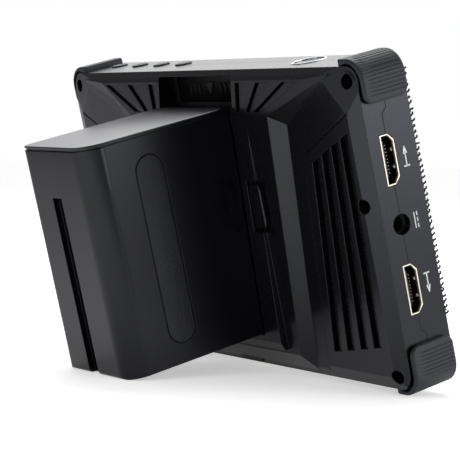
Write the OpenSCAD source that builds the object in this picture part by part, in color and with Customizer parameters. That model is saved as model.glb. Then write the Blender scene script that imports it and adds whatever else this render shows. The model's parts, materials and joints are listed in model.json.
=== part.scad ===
// Camera field monitor that stands leaning back on the clip-on battery on its back.
// Every part is drawn upright: x runs to the right seen from the screen, y to the back and z up,
// with zero in the middle of the bottom edge of the screen face. standing() then leans it back.

/* [Housing] */
// Width of the housing without its bumpers
body_w = 161.6; // [160:0.2:172]
// Height of the housing without its bumpers
body_h = 96.3; // [95:0.1:104]
// Depth of the housing at its side walls
side_d = 16.9; // [16.6:0.1:17.6]
// Depth of the housing at the flat parts of its back
back_d = 18.7; // [18.4:0.1:19.2]
// Wall thickness of both housing halves
wall = 2; // [1.8:0.1:2.2]
// Corner radius of the housing
corner_r = 5; // [4:0.5:6]
// Gap left in the parting line
seam_gap = 0.1; // [0.05:0.05:0.2]

/* [Raised middle of the back] */
// Depth at the raised middle
plateau_d = 21.2; // [20.8:0.1:21.8]
// Depth at the lower end of the wedge beside the battery
wedge_d = 23.8; // [22.8:0.1:24.6]
// Half width of the wedge
wedge_hw = 27.7; // [27:0.1:29]
// Half width of the raised middle at its lower end
plateau_low_hw = 33.3; // [32.5:0.1:34.5]
// Half width of the raised middle at its upper end
plateau_high_hw = 39.5; // [38.5:0.1:40.5]
// Width of the sloped flank round the raised middle
flank_w = 4.8; // [4:0.1:5.5]
// Width of the sloped border at the left and right
bevel_w = 5; // [4:0.1:6]
// Height of the sloped border at the bottom
bevel_h = 4.2; // [3.5:0.1:5]
// How far the side fields fall towards the flank
side_fall = 0.6; // [0.3:0.05:0.8]

/* [Vents] */
// Number of vent slots on each side
vent_count = 4; // [2:1:4]
// From the side wall to the inner edge of the first vent slot at its lower end
vent_low_in = 32.5; // [31.8:0.1:33]
// Step between the vent slots at their lower ends
vent_low_step = 6.65; // [6.3:0.05:6.8]
// From the side wall to the inner edge of the first vent slot at its upper end
vent_high_in = 25.4; // [24.8:0.1:25.8]
// Step between the vent slots at their upper ends
vent_high_step = 4.95; // [4.7:0.05:5]
// Width of a vent slot
vent_w = 3.8; // [3.2:0.1:4]
// Width of the open gap in a vent slot
vent_gap = 1.6; // [1.2:0.1:1.8]

/* [Screen] */
// Width of the frame at the left and right of the cover glass
frame_w = 9.1; // [8:0.1:9.6]
// Height of the frame above and below the cover glass
frame_h = 6.15; // [5.4:0.05:6.6]
// Thickness of the cover glass
glass_t = 1.2; // [0.8:0.1:1.3]
// How far the screen panel stays inside the glass at the left and right
panel_in_w = 2.7; // [2.2:0.1:4]
// How far the screen panel stays inside the glass at the top and bottom
panel_in_h = 2; // [1.6:0.1:3]

/* [Battery] */
// Width of the battery
batt_w = 38.4; // [38:0.1:39]
// Thickness of the battery, from its contact face to its outer face
batt_t = 59.5; // [58.8:0.1:61]
// Length of the battery
batt_l = 72.1; // [71.6:0.1:72.8]
// Radius of the rounded outer edge
batt_r = 7; // [5:0.5:8]
// Radius of the opposite upright outer edge
batt_far_r = 3; // [2:0.5:4]
// Radius of the small rounding on the lower outer edge
batt_foot_r = 1.2; // [0.8:0.1:1.6]
// Thickness of the outer cover of the battery
batt_cap_t = 7.1; // [6.5:0.1:7.5]
// Depth of the battery's contact face below the back of the housing
mount_y = 13.6; // [13.4:0.1:13.8]
// Diameter of a battery cell
cell_d = 18.2; // [18:0.05:18.3]
// Length of a battery cell
cell_l = 65; // [64:0.5:65.5]

/* [Moving parts] */
// Travel of the battery up its rails
batt_travel = 8.5; // [8:0.1:9]
// Travel of the release tab
tab_travel = 1.6; // [1:0.1:1.7]
// Travel of the lock slider
lock_travel = 2.4; // [1.5:0.1:2.5]
// Travel of a button
button_travel = 0.5; // [0.3:0.1:0.5]
// Radius of a menu button
menu_r = 2.8; // [2.4:0.1:3]
// Step between the menu buttons
menu_step = 13.7; // [13:0.1:14]
// Radius of the power button
power_r = 4.65; // [4.2:0.05:4.8]
// Play between a moving part and its opening
play = 0.15; // [0.1:0.05:0.2]

/* [Sockets] */
// Length of a video socket
video_l = 14.9; // [14.5:0.1:15.2]
// Height of a video socket
video_h = 4.9; // [4.7:0.1:5.1]
// Wall of a video socket shell
video_wall = 0.45; // [0.35:0.05:0.6]
// Radius of the power jack opening
jack_r = 3.1; // [2.9:0.1:3.3]
// Radius of the power jack pin
jack_pin_r = 0.8; // [0.6:0.05:1]
// Wall radius of the tripod thread
tripod_r = 2.55; // [2.45:0.05:2.7]
// Depth of the tripod thread
tripod_l = 8.8; // [8:0.1:9]

/* [Bumpers and hook tape] */
// Thickness of a bumper
bumper_t = 2; // [1.5:0.1:2.5]
// Length of the leg of an upper bumper down the side wall
bumper_high_leg = 13.6; // [12.5:0.1:15]
// Length of the leg of a lower bumper up the side wall
bumper_low_leg = 15.2; // [13:0.1:16]
// Length of a bumper's leg along the top or the bottom
bumper_foot = 10.4; // [9.5:0.1:12]
// Height of the fine ribs on a bumper
rib_h = 0.3; // [0.15:0.05:0.4]
// Distance between the fine ribs
rib_pitch = 1.15; // [1:0.05:1.4]
// Length of the hook tape
tape_l = 75.9; // [70:0.1:77]
// Width of the hook tape
tape_w = 7.6; // [7.2:0.1:8]
// Thickness of the tape's backing
tape_t = 1; // [0.8:0.05:1.2]
// Rows of hooks along the tape
hook_rows = 39; // [38:1:45]
// Columns of hooks across the tape
hook_cols = 4; // [4:1:5]
// Height of a hook
hook_h = 1.3; // [1:0.05:1.4]

/* [Hidden] */
eps = 0.02;
far = 200;
seat = 0.1;                      // gap between two flat faces that rest on each other
half_w = body_w / 2;
inner_hw = half_w - wall;
mid_z = body_h / 2;
glass_w = body_w - 2 * frame_w;
glass_h = body_h - 2 * frame_h;
panel_w = glass_w - 2 * panel_in_w;
panel_h = glass_h - 2 * panel_in_h;
panel_low_z = mid_z - panel_h / 2;
panel_high_z = mid_z + panel_h / 2;

// Parting line: deeper in the middle of the side walls than at the corners and along the top
seam_top_y = 7.2;
seam_corner_y = 8.4;
seam_side_y = 10.2;
seam_corner_x = half_w - 14.8;
seam_side_low_z = 17;
seam_side_high_z = body_h - 15.3;
seam_step = 1.6;

// Battery pocket and the channel above it, where the release tab sits
channel_top_z = body_h - 1.6;
channel_hw = 21;
tab_hw = 18.4;
ledge_z = channel_top_z - 10.2;
batt_top_z = ledge_z + 0.9;
batt_low_z = batt_top_z - batt_l;
tooth_z = ledge_z - 15;
batt_hw = batt_w / 2;
batt_in_y = mount_y + 0.3;
batt_out_y = batt_in_y + batt_t;
batt_seam_y = batt_out_y - batt_cap_t;
pocket_hw = batt_hw + 0.5;
pocket_low_z = batt_low_z - 0.5;
pocket_wall = 1.5;
plate_t = 1.9;
plate_front_y = mount_y - plate_t;

// Back: corners of the raised middle, of its flank and of the vent field, on the right half
plateau_low = [plateau_low_hw, 7];
plateau_high = [plateau_high_hw, ledge_z - 2];
fan_high = [58, body_h - 3.1];
fan_d = 19.1;
valley_low = [plateau_low_hw + flank_w - 0.6, 1.5];
valley_high = [plateau_high_hw + flank_w + 0.5, body_h - 16.9];
valley_end = [half_w - 10.8, body_h - 1.9];
valley_d = back_d - side_fall;
field_low = [plateau_low_hw + 10, 0];
field_high = [plateau_high_hw + 11.9, body_h - 26.2];
field_end = [half_w - bevel_w, body_h - 13.7];

// Screws that hold the two halves together
screw_r = 1.2;
screw_head_r = 2;
screw_head_t = 1.6;
screw_seat_y = 11.6;
post_r = 2.9;
corner_inset = 4.3;
mid_screw = [half_w - 5.2, mid_z + 7.55];
screw_places = [
    [half_w - corner_inset, corner_inset], [half_w - corner_inset, body_h - corner_inset],
    [-(half_w - corner_inset), corner_inset], [-(half_w - corner_inset), body_h - corner_inset],
    mid_screw, [-mid_screw[0], mid_screw[1]]
];

// Stack behind the glass
face_t = 3;
panel_y = glass_t + seat;
panel_t = 1.8;
light_t = 2.1;
light_y = panel_y + panel_t;
support_y = light_y + light_t + seat;
support_t = 0.6;
board_y = support_y + support_t + seat;
board_t = 1.5;
board_back_y = board_y + board_t;
board_low_z = panel_low_z + 2.85;
board_high_z = panel_high_z - 0.65;
board_screw_places = [for (x = [20.8 - half_w, 22]) for (z = [board_low_z + 4, board_high_z - 5.5]) [x, z]];
chip_at = [44.8 - half_w, board_low_z + 23];
chip_size = 16;
chip_t = 1.2;
cooler_size = 20;
cooler_base_t = 0.8;
cooler_t = 1.8;
cooler_fins = 6;

// Sockets on the left wall, all on one line
socket_y = 10.2;
video_out_z = mid_z + 19.55;
video_in_z = mid_z - 18.85;
jack_z = mid_z + 0.35;
video_depth = 12;
jack_body = [12.6, 8.2, 8.2];
jack_pin_x = 4.6 - half_w;

// Buttons on the top wall
menu_y = 6.4;
menu_x = [for (i = [0:3]) half_w - 56.7 + menu_step * i];
power_x = 33.9 - half_w;
power_y = 7.3;
button_proud = 0.5;
ring_r = power_r + play + 0.9;
flange_z = body_h - wall - seat;
flange_t = 1.1;
stem_z = flange_z - flange_t - 0.6;
switch_top_z = stem_z - button_travel - seat;
switch_board_z = switch_top_z - 2.8;

// Lock slider
lock_z = ledge_z - 30.1;
lock_l = 14;
lock_w = 5.8;
lock_x = -(pocket_hw + 3.6 + lock_w / 2);
lock_floor_y = plateau_d - 1.1;
lock_top_y = plateau_d + 0.7;
lock_room = 1.2;

// Screws that hold the plate behind the battery
plate_screw_x = pocket_hw + 3.7;
plate_screw_z = [batt_low_z + 4.7, ledge_z - 8.5];
plate_screw_places = [for (x = [-plate_screw_x, plate_screw_x]) for (z = plate_screw_z) [x, z]];

// Rails and the battery's grooves for them
rail_z = [[batt_low_z + 10.7, batt_low_z + 18.7], [batt_low_z + 46.7, batt_low_z + 54.7]];
rail_y = [15.4, 16.4];
rail_reach = 0.8;
groove_play = 0.2;

// Standing pose: the part touches down on the bumpers' rear edge and on the battery's lower edge
bumper_front_y = 0.5;
bumper_back_y = side_d - 0.5;
bumper_edge = 0.6;
bumper_gap = 0.8;
bumper_top_r = corner_r + bumper_t;
heel = [bumper_back_y - bumper_edge, -bumper_t];
toe = [batt_out_y - batt_foot_r, batt_low_z + batt_foot_r];
toe_gap = norm(toe - heel);
lean = atan2(toe[1] - heel[1], toe[0] - heel[0]) - asin(batt_foot_r / toe_gap);
stand_z = heel[0] * sin(lean) - heel[1] * cos(lean);
low_y = min(0, bumper_front_y * cos(lean) + (-bumper_t + bumper_edge) * sin(lean));
high_y = batt_out_y * cos(lean) + batt_top_z * sin(lean);
echo(lean = lean, stand_z = stand_z, stand_y = -(low_y + high_y) / 2);

module standing() translate([0, -(low_y + high_y) / 2, stand_z]) rotate([-lean, 0, 0]) children();

// Shapes drawn in one plane and pushed along an axis
module along_x(x0, x1) translate([x0, 0, 0]) rotate([90, 0, 90]) linear_extrude(x1 - x0) children();
module along_y(y0, y1) translate([0, y1, 0]) rotate([90, 0, 0]) linear_extrude(y1 - y0) children();
module along_z(z0, z1) translate([0, 0, z0]) linear_extrude(z1 - z0) children();
module block(x, y, z)
    translate([x[0], y[0], z[0]]) cube([x[1] - x[0], y[1] - y[0], z[1] - z[0]]);
module rod_x(y, z, x0, x1, r) translate([x0, y, z]) rotate([0, 90, 0]) cylinder(h = x1 - x0, r = r, $fn = 48);
module rod_y(x, z, y0, y1, r) translate([x, y1, z]) rotate([90, 0, 0]) cylinder(h = y1 - y0, r = r, $fn = 48);
module rod_z(x, y, z0, z1, r) translate([x, y, z0]) cylinder(h = z1 - z0, r = r, $fn = 48);
function span(c, w) = [c - w / 2, c + w / 2];
module both_sides() {
    children();
    mirror([1, 0, 0]) children();
}

function arc(c, r, from, to, steps) =
    [for (i = [0:steps]) c + r * [cos(from + (to - from) * i / steps), sin(from + (to - from) * i / steps)]];
function rounded(w, h, r) = concat(
    arc([w / 2 - r, h / 2 - r], r, 0, 90, 6), arc([r - w / 2, h / 2 - r], r, 90, 180, 6),
    arc([r - w / 2, r - h / 2], r, 180, 270, 6), arc([w / 2 - r, r - h / 2], r, 270, 360, 6));

module outline(inset)
    translate([0, mid_z]) polygon(rounded(body_w - 2 * inset, body_h - 2 * inset, corner_r - inset * 0.8));

// Space that belongs to the front half, out to the parting line
module front_zone(gap) {
    block([-far, far], [-1, seam_top_y + gap], [-far, far]);
    both_sides() block([seam_corner_x - gap, far], [-1, seam_corner_y + gap], [-far, far]);
    both_sides() along_x(half_w - 9, far) polygon([
        [-1, seam_side_low_z - seam_step - gap], [seam_corner_y, seam_side_low_z - seam_step - gap],
        [seam_side_y + gap, seam_side_low_z - gap], [seam_side_y + gap, seam_side_high_z + gap],
        [seam_corner_y, seam_side_high_z + seam_step + gap], [-1, seam_side_high_z + seam_step + gap]]);
}

// Openings that both halves share
module video_outline(grow) {
    long = video_l / 2 + grow;
    high = video_h / 2 + grow;
    polygon([[high, -long], [high, long], [-0.5, long], [-high, long - 2], [-high, 2 - long], [-0.5, -long]]);
}
module socket_openings() {
    for (z = [video_out_z, video_in_z])
        translate([0, socket_y, z]) along_x(-half_w - 1, -half_w + 9) video_outline(0.12);
    rod_x(socket_y, jack_z, -half_w - 1, -inner_hw + 0.5, jack_r);
}
module button_openings() {
    for (x = menu_x) {
        rod_z(x, menu_y, body_h - 5, body_h + 1, menu_r + play);
        rod_z(x, menu_y, stem_z - 1, flange_z + seat, menu_r + 0.8);
    }
    rod_z(power_x, power_y, body_h - 5, body_h + 1, ring_r + 0.05);
    rod_z(power_x, power_y, stem_z - 1, flange_z + seat, power_r + 1.1);
}

module front_bezel() color("#2b2b2e") difference() {
    union() {
        intersection() {
            difference() {
                along_y(0, 12) outline(0);
                along_y(face_t, 13) outline(wall);
            }
            front_zone(0);
        }
        both_sides()
            block(
                [panel_w / 2 + 3, inner_hw + 0.5], [face_t - 0.5, support_y - seat],
                [panel_low_z + 2, panel_high_z - 2.1]);
        for (s = screw_places)
            rod_y(s[0], s[1], face_t - 0.5, s[1] == mid_screw[1] ? seam_side_y : seam_corner_y, post_r);
    }
    for (s = screw_places)
        rod_y(s[0], s[1], face_t + 0.5, 12, screw_r + 0.02);
    block([-panel_w / 2 - 0.3, panel_w / 2 + 0.3], [-1, face_t + 1], span(mid_z, panel_h + 0.6));
    along_y(-1, glass_t + 0.05) translate([0, mid_z]) polygon(rounded(glass_w + 0.3, glass_h + 0.3, 2.15));
    socket_openings();
    button_openings();
}

// The raised middle: a plateau with a fan facet above it and a sloped flank all round
module plateau() {
    function mirrored(p) = [-p[0], p[1]];
    top = [
        mirrored(plateau_low), plateau_low, plateau_high,
        fan_high, mirrored(fan_high), mirrored(plateau_high)];
    foot = [
        mirrored(valley_low), valley_low, valley_high,
        valley_end, mirrored(valley_end), mirrored(valley_high)];
    top_d = [plateau_d, plateau_d, plateau_d - 0.2, fan_d, fan_d, plateau_d - 0.2];
    low_d = side_d + (back_d - side_d) * valley_low[1] / bevel_h;
    foot_d = [low_d, low_d, valley_d, back_d - 0.01, back_d - 0.01, valley_d];
    skirt_d = back_d - wall + 0.1;
    points = concat(
        [for (i = [0:5]) [top[i][0], top_d[i], top[i][1]]],
        [for (i = [0:5]) [foot[i][0], foot_d[i], foot[i][1]]],
        [for (i = [0:5]) [foot[i][0], skirt_d, foot[i][1]]]);
    faces = concat(
        [[0, 1, 2], [0, 2, 5], [5, 2, 3], [5, 3, 4]],
        [for (r = [0, 6]) for (i = [0:5]) let (j = (i + 1) % 6) [j + r, i + r, i + r + 6]],
        [for (r = [0, 6]) for (i = [0:5]) let (j = (i + 1) % 6) [j + r, i + r + 6, j + r + 6]],
        [[17, 14, 13], [17, 13, 12], [16, 15, 14], [16, 14, 17]]);
    polyhedron(points, faces);
}

// Everything behind a sloping plane, over an outline given in x and z: y = k[0] + k[1] * x + k[2] * z
module over_plane(outline, k) {
    n = len(outline);
    polyhedron(
        concat(
            [for (p = outline) [p[0], k[0] + k[1] * p[0] + k[2] * p[1], p[1]]],
            [for (p = outline) [p[0], 40, p[1]]]),
        concat(
            [[for (i = [n - 1:-1:0]) i]], [[for (i = [n:2 * n - 1]) i]],
            [for (i = [0:n - 1]) let (j = (i + 1) % n) [j + n, i + n, i]],
            [for (i = [0:n - 1]) let (j = (i + 1) % n) [j + n, i, j]]));
}

// The upper corners fall away on a slanted facet round the screw holes
corner_slope = [-0.1646, -0.1526];
corner_start = [half_w - 5, body_h - 13.7];
module corner_facet()
    over_plane([[half_w - 20, body_h + 2], [half_w - 20, body_h - 8], [half_w - 8, body_h - 20],
        [half_w + 3, body_h - 20], [half_w + 3, body_h + 2]],
        [back_d - corner_slope * corner_start, corner_slope[0], corner_slope[1]]);

// The side fields fall gently from the border towards the flank
module side_field() {
    run = valley_high - valley_low;
    tilt = atan2(run[0], run[1]);
    fall = atan2(side_fall, 23.8);
    intersection() {
        along_y(17, 26) polygon([
            valley_low - [2, 1.5], field_low, field_high, field_end, field_end + [1.7, 6.2],
            valley_end - [-1, 1], valley_high + [-1.3, 0.6]]);
        translate([valley_high[0], valley_d, valley_high[1]]) rotate([0, tilt, 0]) rotate([0, 0, fall])
            translate([-6, 0, -2 * body_h]) cube([90, 20, 3 * body_h]);
    }
}

module back_form() {
    difference() {
        intersection() {
            along_y(0, back_d + 1) outline(0);
            along_x(-half_w - 1, half_w + 1) polygon([
                [0, -1], [side_d - 0.43, -1], [side_d, 0], [back_d, bevel_h], [back_d, body_h - 1.9],
                [side_d, body_h], [side_d - 1, body_h + 1], [0, body_h + 1]]);
            along_z(-1, body_h + 1) polygon([
                [-half_w - 1, 0], [-half_w - 1, side_d - 0.36], [-half_w, side_d], [bevel_w - half_w, back_d],
                [half_w - bevel_w, back_d], [half_w, side_d], [half_w + 1, side_d - 0.36], [half_w + 1, 0]]);
        }
        both_sides() {
            side_field();
            corner_facet();
        }
    }
    plateau();
    along_x(-wedge_hw, wedge_hw) polygon([
        [17.5, 80.5], [plateau_d - 0.3, 80.5], [wedge_d, 11], [wedge_d - 1.2, 8.4], [17.5, 8.4]]);
}

// Three slanted slots on each side of the channel: a shallow step in the facet, and a gap along its +x edge.
// Their inner and outer edges are given at the top and at the bottom.
fan_tops = [[23, 27.6], [34, 40.8], [47.5, 55.1]];
fan_feet = [[23, 25.2], [28.2, 30.4], [32.5, 36.7]];
fan_gap = 0.9;
fan_step = 0.8;
module fan_slots() {
    high = body_h - 3.8;
    low = ledge_z - 0.8;
    slope = (fan_d - plateau_d + 0.2) / (fan_high[1] - plateau_high[1]);
    floor_plane = [fan_d - fan_step - slope * fan_high[1], 0, slope];
    for (side = [-1, 1]) for (i = [0:2]) {
        top = side > 0 ? fan_tops[i] : [-fan_tops[i][1], -fan_tops[i][0]];
        foot = side > 0 ? fan_feet[i] : [-fan_feet[i][1], -fan_feet[i][0]];
        over_plane([[foot[0], low], [foot[1], low], [top[1], high], [top[0], high]], floor_plane);
        along_y(10, 30)
            polygon([[foot[1] - fan_gap, low], [foot[1], low], [top[1], high], [top[1] - fan_gap, high]]);
    }
}

// Vent slots: an open gap and a ramp that rises from it to the surface
vent_drop = 0.75;
module vent_slots() {
    low_z = 11;
    high_z = body_h - 23.5;
    intersection() {
        for (i = [0:vent_count - 1]) {
            foot = [half_w - vent_low_in + vent_low_step * i, low_z];
            run = [half_w - vent_high_in + vent_high_step * i, high_z] - foot;
            translate([foot[0], 0, foot[1]]) rotate([0, atan2(run[0], run[1]), 0]) along_z(-6, norm(run) + 12)
                polygon([
                    [0, back_d + 1], [0, 12], [vent_gap, 12], [vent_gap, back_d - vent_drop],
                    [vent_w, back_d - 0.15], [vent_w, back_d + 1]]);
        }
        along_y(11, back_d + 2) polygon([
            [42, low_z - 2.8], [half_w - 5.6, low_z + 2.6], [half_w - 5.6, high_z + 5], [42, high_z - 10.5]]);
    }
}

// A fine crease along the inner and the upper edge of the vent field
module field_crease() {
    w = 0.5;
    path = [field_low + [0, 1], field_high + [0, 0.2], field_end];
    for (i = [0:1]) {
        run = path[i + 1] - path[i];
        across = [-run[1], run[0]] / norm(run) * w;
        end = path[i + 1] + run / norm(run) * w * (1 - i);
        along_y(back_d - side_fall - 0.35, back_d + 1)
            polygon([path[i], end, path[i + 1] + across, path[i] + across]);
    }
}

module pocket_walls() {
    near = pocket_hw + pocket_wall;
    wide = channel_hw + pocket_wall;
    along_y(mount_y, back_d - 1) polygon([
        [-near, pocket_low_z - pocket_wall], [near, pocket_low_z - pocket_wall], [near, ledge_z - 1],
        [wide, ledge_z - 1], [wide, body_h - 1], [-wide, body_h - 1], [-wide, ledge_z - 1],
        [-near, ledge_z - 1]]);
}
module pocket() {
    along_y(mount_y - 1, far) polygon([
        [-pocket_hw, pocket_low_z], [pocket_hw, pocket_low_z], [pocket_hw, ledge_z + 0.4],
        [channel_hw, ledge_z + 0.4], [channel_hw, channel_top_z], [-channel_hw, channel_top_z],
        [-channel_hw, ledge_z + 0.4], [-pocket_hw, ledge_z + 0.4]]);
}
module rails() both_sides() for (z = rail_z)
    block([batt_hw - rail_reach, pocket_hw + 0.5], rail_y, z);

module lock_recess() {
    edge = lock_x - lock_w / 2;
    block(
        [edge - lock_travel - 0.6, lock_x + lock_w / 2 + 0.6], [lock_floor_y, far],
        span(lock_z, lock_l + 2 * lock_room));
    block([lock_x - 1 - lock_travel - play, lock_x + 1 + play], [15, 26], span(lock_z, 6 + 2 * play));
}

module rear_shell() difference() {
    union() {
        difference() {
            back_form();
            front_zone(seam_gap);
            along_y(-1, back_d - wall) outline(wall);
            both_sides() along_y(15, 19.2) polygon([
                [pocket_hw + pocket_wall + 0.1, 14], [plateau_low_hw - 2, 14],
                [plateau_high_hw - 3.5, ledge_z - 8], [pocket_hw + pocket_wall + 0.1, ledge_z - 8]]);
        }
        difference() {
            pocket_walls();
            pocket();
        }
        for (s = screw_places) {
            seam_y = s[1] == mid_screw[1] ? seam_side_y : seam_corner_y;
            rod_y(s[0], s[1], seam_y + seam_gap, back_d - 1.8, post_r);
        }
        for (p = plate_screw_places) rod_y(p[0], p[1], mount_y, 19.5, 2.4);
        difference() {
            block([-6, 6], [seam_top_y + seam_gap, back_d - 1], [0.6, tripod_l + 1]);
            rod_z(0, 12, -1, tripod_l + 0.4, 4.02);
        }
    }
    pocket();
    lock_recess();
    both_sides() {
        vent_slots();
        field_crease();
    }
    fan_slots();
    for (s = screw_places) {
        rod_y(s[0], s[1], 5, 30, screw_r + 0.2);
        rod_y(s[0], s[1], screw_seat_y, 30, screw_head_r + 0.2);
    }
    for (p = plate_screw_places) rod_y(p[0], p[1], mount_y - 1, mount_y + 3.2, 1.02);
    rod_z(0, 12, -1, tripod_l + 0.4, 4.02);
    socket_openings();
    button_openings();
}
module rear_cover() color("#26262a") {
    rear_shell();
    rails();
}

module battery_plate() color("#2a2a2d") difference() {
    block([-1, 1] * (pocket_hw + 4.8), [plate_front_y, mount_y], [pocket_low_z - 2, body_h - wall - seat]);
    block([-1, 1] * (tab_hw + 0.3), [0, 20], [ledge_z + 0.7, channel_top_z - 0.7]);
    block([-3, 3], [0, 20], span(tooth_z, 6));
    for (p = plate_screw_places)
        rod_y(p[0], p[1], 0, 20, 1.02);
}

// A bumper is one profile round a housing corner, with fine ribs, a smaller step at each edge and a gap
// to the housing along its rear edge
function bumper_path(leg, off) = let (
    up = leg - bumper_top_r,
    turn = 90 * PI / 180 * bumper_top_r,
    total = up + turn + bumper_foot - bumper_top_r,
    n = 2 * floor(total / rib_pitch),
    c = [half_w, body_h] + [1, 1] * (bumper_t - bumper_top_r))
    [for (i = [0:n]) let (
        s = total * i / n,
        ribbed = s > 1.8 && s < total - 1.8 && i % 2 == 1,
        r = bumper_top_r - off - (ribbed ? rib_h : 0),
        a = s < up ? 0 : s > up + turn ? 90 : (s - up) / bumper_top_r * 180 / PI)
        c + r * [cos(a), sin(a)] + (s < up ? [0, s - up] : s > up + turn ? [up + turn - s, 0] : [0, 0])];
module bumper_profile(leg, off) {
    inner = arc([half_w - corner_r, body_h - corner_r], corner_r, 90, 0, 6);
    end = [half_w, body_h] + [1, 1] * (bumper_t + off) - [bumper_foot, leg];
    polygon(concat(
        [[half_w, end[1]], [half_w + bumper_t - off, end[1]]],
        [for (p = bumper_path(leg, off)) if (p[1] > end[1] && p[0] > end[0]) p],
        [[end[0], body_h + bumper_t - off], [end[0], body_h]], inner));
}
module bumper(leg) difference() {
    union() {
        along_y(bumper_front_y, bumper_back_y) bumper_profile(leg, bumper_edge);
        along_y(bumper_front_y + bumper_edge, bumper_back_y - bumper_edge) bumper_profile(leg, 0);
    }
    along_y(bumper_back_y - 1.6, far) outline(-bumper_gap);
}
module bumper_top_right() color("#3c3d41") bumper(bumper_high_leg);
module bumper_top_left() color("#3c3d41") mirror([1, 0, 0]) bumper(bumper_high_leg);
module bumper_bottom_right() color("#3c3d41")
    translate([0, 0, body_h]) mirror([0, 0, 1]) bumper(bumper_low_leg);
module bumper_bottom_left() color("#3c3d41")
    mirror([1, 0, 0]) translate([0, 0, body_h]) mirror([0, 0, 1]) bumper(bumper_low_leg);

// Hook tape: one closed surface of square cells, each with a three-sided hook that bends over
tape_high_z = body_h - 2.6;
tape_out_x = half_w - 1.2;
module hook_tape_form() {
    n = hook_rows;
    m = hook_cols;
    dz = tape_l / n;
    dx = tape_w / m;
    across = m + 1;
    grid = [for (i = [0:n]) for (j = [0:m]) [j * dx, 0, i * dz]];
    back = [for (p = [[0, 0], [tape_w, 0], [tape_w, tape_l], [0, tape_l]]) [p[0], tape_t, p[1]]];
    hooks = [for (i = [0:n - 1]) for (j = [0:m - 1]) let (c = [(j + 0.5) * dx, (i + 0.5) * dz])
        for (k = [0:6]) let (
            a = 90 + 120 * (k % 3),
            r = k < 3 ? 0.42 : k < 6 ? 0.3 : 0,
            y = k < 3 ? 0 : k < 6 ? -0.75 * hook_h : -hook_h,
            side = k < 3 ? 0 : k < 6 ? 0.1 : 0.55)
            [c[0] + r * cos(a), y, c[1] + r * sin(a) + side]];
    base = len(grid) + len(back);
    function g(i, j) = i * across + j;
    ring = [for (i = [0:n - 1]) for (j = [0:m - 1]) let (
        h = base + 7 * (i * m + j), q = [g(i, j), g(i, j + 1), g(i + 1, j + 1), g(i + 1, j)])
        each [
            [q[0], h + 1, h + 2], [q[0], h + 2, q[1]], [q[1], h + 2, h], [q[1], h, q[2]],
            [q[2], h, q[3]], [q[3], h, h + 1], [q[3], h + 1, q[0]],
            [h, h + 2, h + 5], [h, h + 5, h + 3], [h + 2, h + 1, h + 4], [h + 2, h + 4, h + 5],
            [h + 1, h, h + 3], [h + 1, h + 3, h + 4],
            [h + 3, h + 5, h + 6], [h + 5, h + 4, h + 6], [h + 4, h + 3, h + 6]]];
    b = len(grid);
    sides = concat(
        [[b, b + 1, b + 2], [b, b + 2, b + 3]],
        [[g(0, m), b + 1, b], [g(n, 0), b + 3, b + 2], [g(n, m), b + 2, b + 1], [g(0, 0), b, b + 3]],
        [for (j = [0:m - 1]) [g(0, j + 1), b, g(0, j)]],
        [for (j = [0:m - 1]) [g(n, j), b + 2, g(n, j + 1)]],
        [for (i = [0:n - 1]) [g(i + 1, m), b + 1, g(i, m)]],
        [for (i = [0:n - 1]) [g(i, 0), b + 3, g(i + 1, 0)]]);
    polyhedron(concat(grid, back, hooks), concat(ring, sides));
}
module hook_tape_right() color("#17171a")
    translate([tape_out_x - tape_w, -tape_t, tape_high_z - tape_l]) hook_tape_form();
module hook_tape_left() color("#17171a") mirror([1, 0, 0])
    translate([tape_out_x - tape_w, -tape_t, tape_high_z - tape_l]) hook_tape_form();

// Screen stack
module cover_glass() color("#0c0d10")
    along_y(0, glass_t) translate([0, mid_z]) polygon(rounded(glass_w, glass_h, 2));
module lcd_panel() color("#1b1d24")
    block(span(0, panel_w), [panel_y, light_y], span(mid_z, panel_h));
module backlight() color("#d8d8d4")
    block(span(0, panel_w), [light_y, light_y + light_t], span(mid_z, panel_h));

module support_plate() color("#b9bcc0") difference() {
    block(
        [-1, 1] * (inner_hw - 1.3), [support_y, support_y + support_t],
        [panel_low_z + 2.35, panel_high_z - 1.85]);
    both_sides() rod_y(mid_screw[0], mid_screw[1], 0, 20, post_r + 0.4);
    for (p = board_screw_places) rod_y(p[0], p[1], 0, 20, 1.15);
}

module main_board() color("#1e5c3a") difference() {
    block([-inner_hw + 0.4, 30], [board_y, board_back_y], [board_low_z, board_high_z]);
    both_sides() rod_y(mid_screw[0], mid_screw[1], 0, 20, post_r + 0.4);
    block([-far, -inner_hw + jack_body[0] + 0.6], [0, 20], span(jack_z, jack_body[2] + 0.3));
    for (p = board_screw_places) rod_y(p[0], p[1], 0, 20, 1.15);
}
module processor() color("#202226")
    block(span(chip_at[0], chip_size), [board_back_y, board_back_y + chip_t], span(chip_at[1], chip_size));
module heat_spreader() color("#a9adb2") difference() {
    low = board_back_y + chip_t;
    pitch = cooler_size / (cooler_fins + 0.5);
    block(span(chip_at[0], cooler_size), [low, low + cooler_t], span(chip_at[1], cooler_size));
    for (i = [0:cooler_fins - 1])
        block(
            span(chip_at[0] + pitch * (i + 0.5 - cooler_fins / 2), pitch / 2), [low + cooler_base_t, 20],
            [0, body_h]);
}
ribbon_z = panel_low_z - 0.55;
module screen_ribbon() color("#b97a35")
    along_x(-28, -12) polygon([
        [light_y + 0.4, panel_low_z], [light_y + 0.4, ribbon_z], [board_back_y + 0.6, ribbon_z],
        [board_back_y + 0.6, board_low_z + 3], [board_back_y, board_low_z + 3],
        [board_back_y, ribbon_z + 0.3],
        [light_y + 0.7, ribbon_z + 0.3], [light_y + 0.7, panel_low_z]]);

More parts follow.
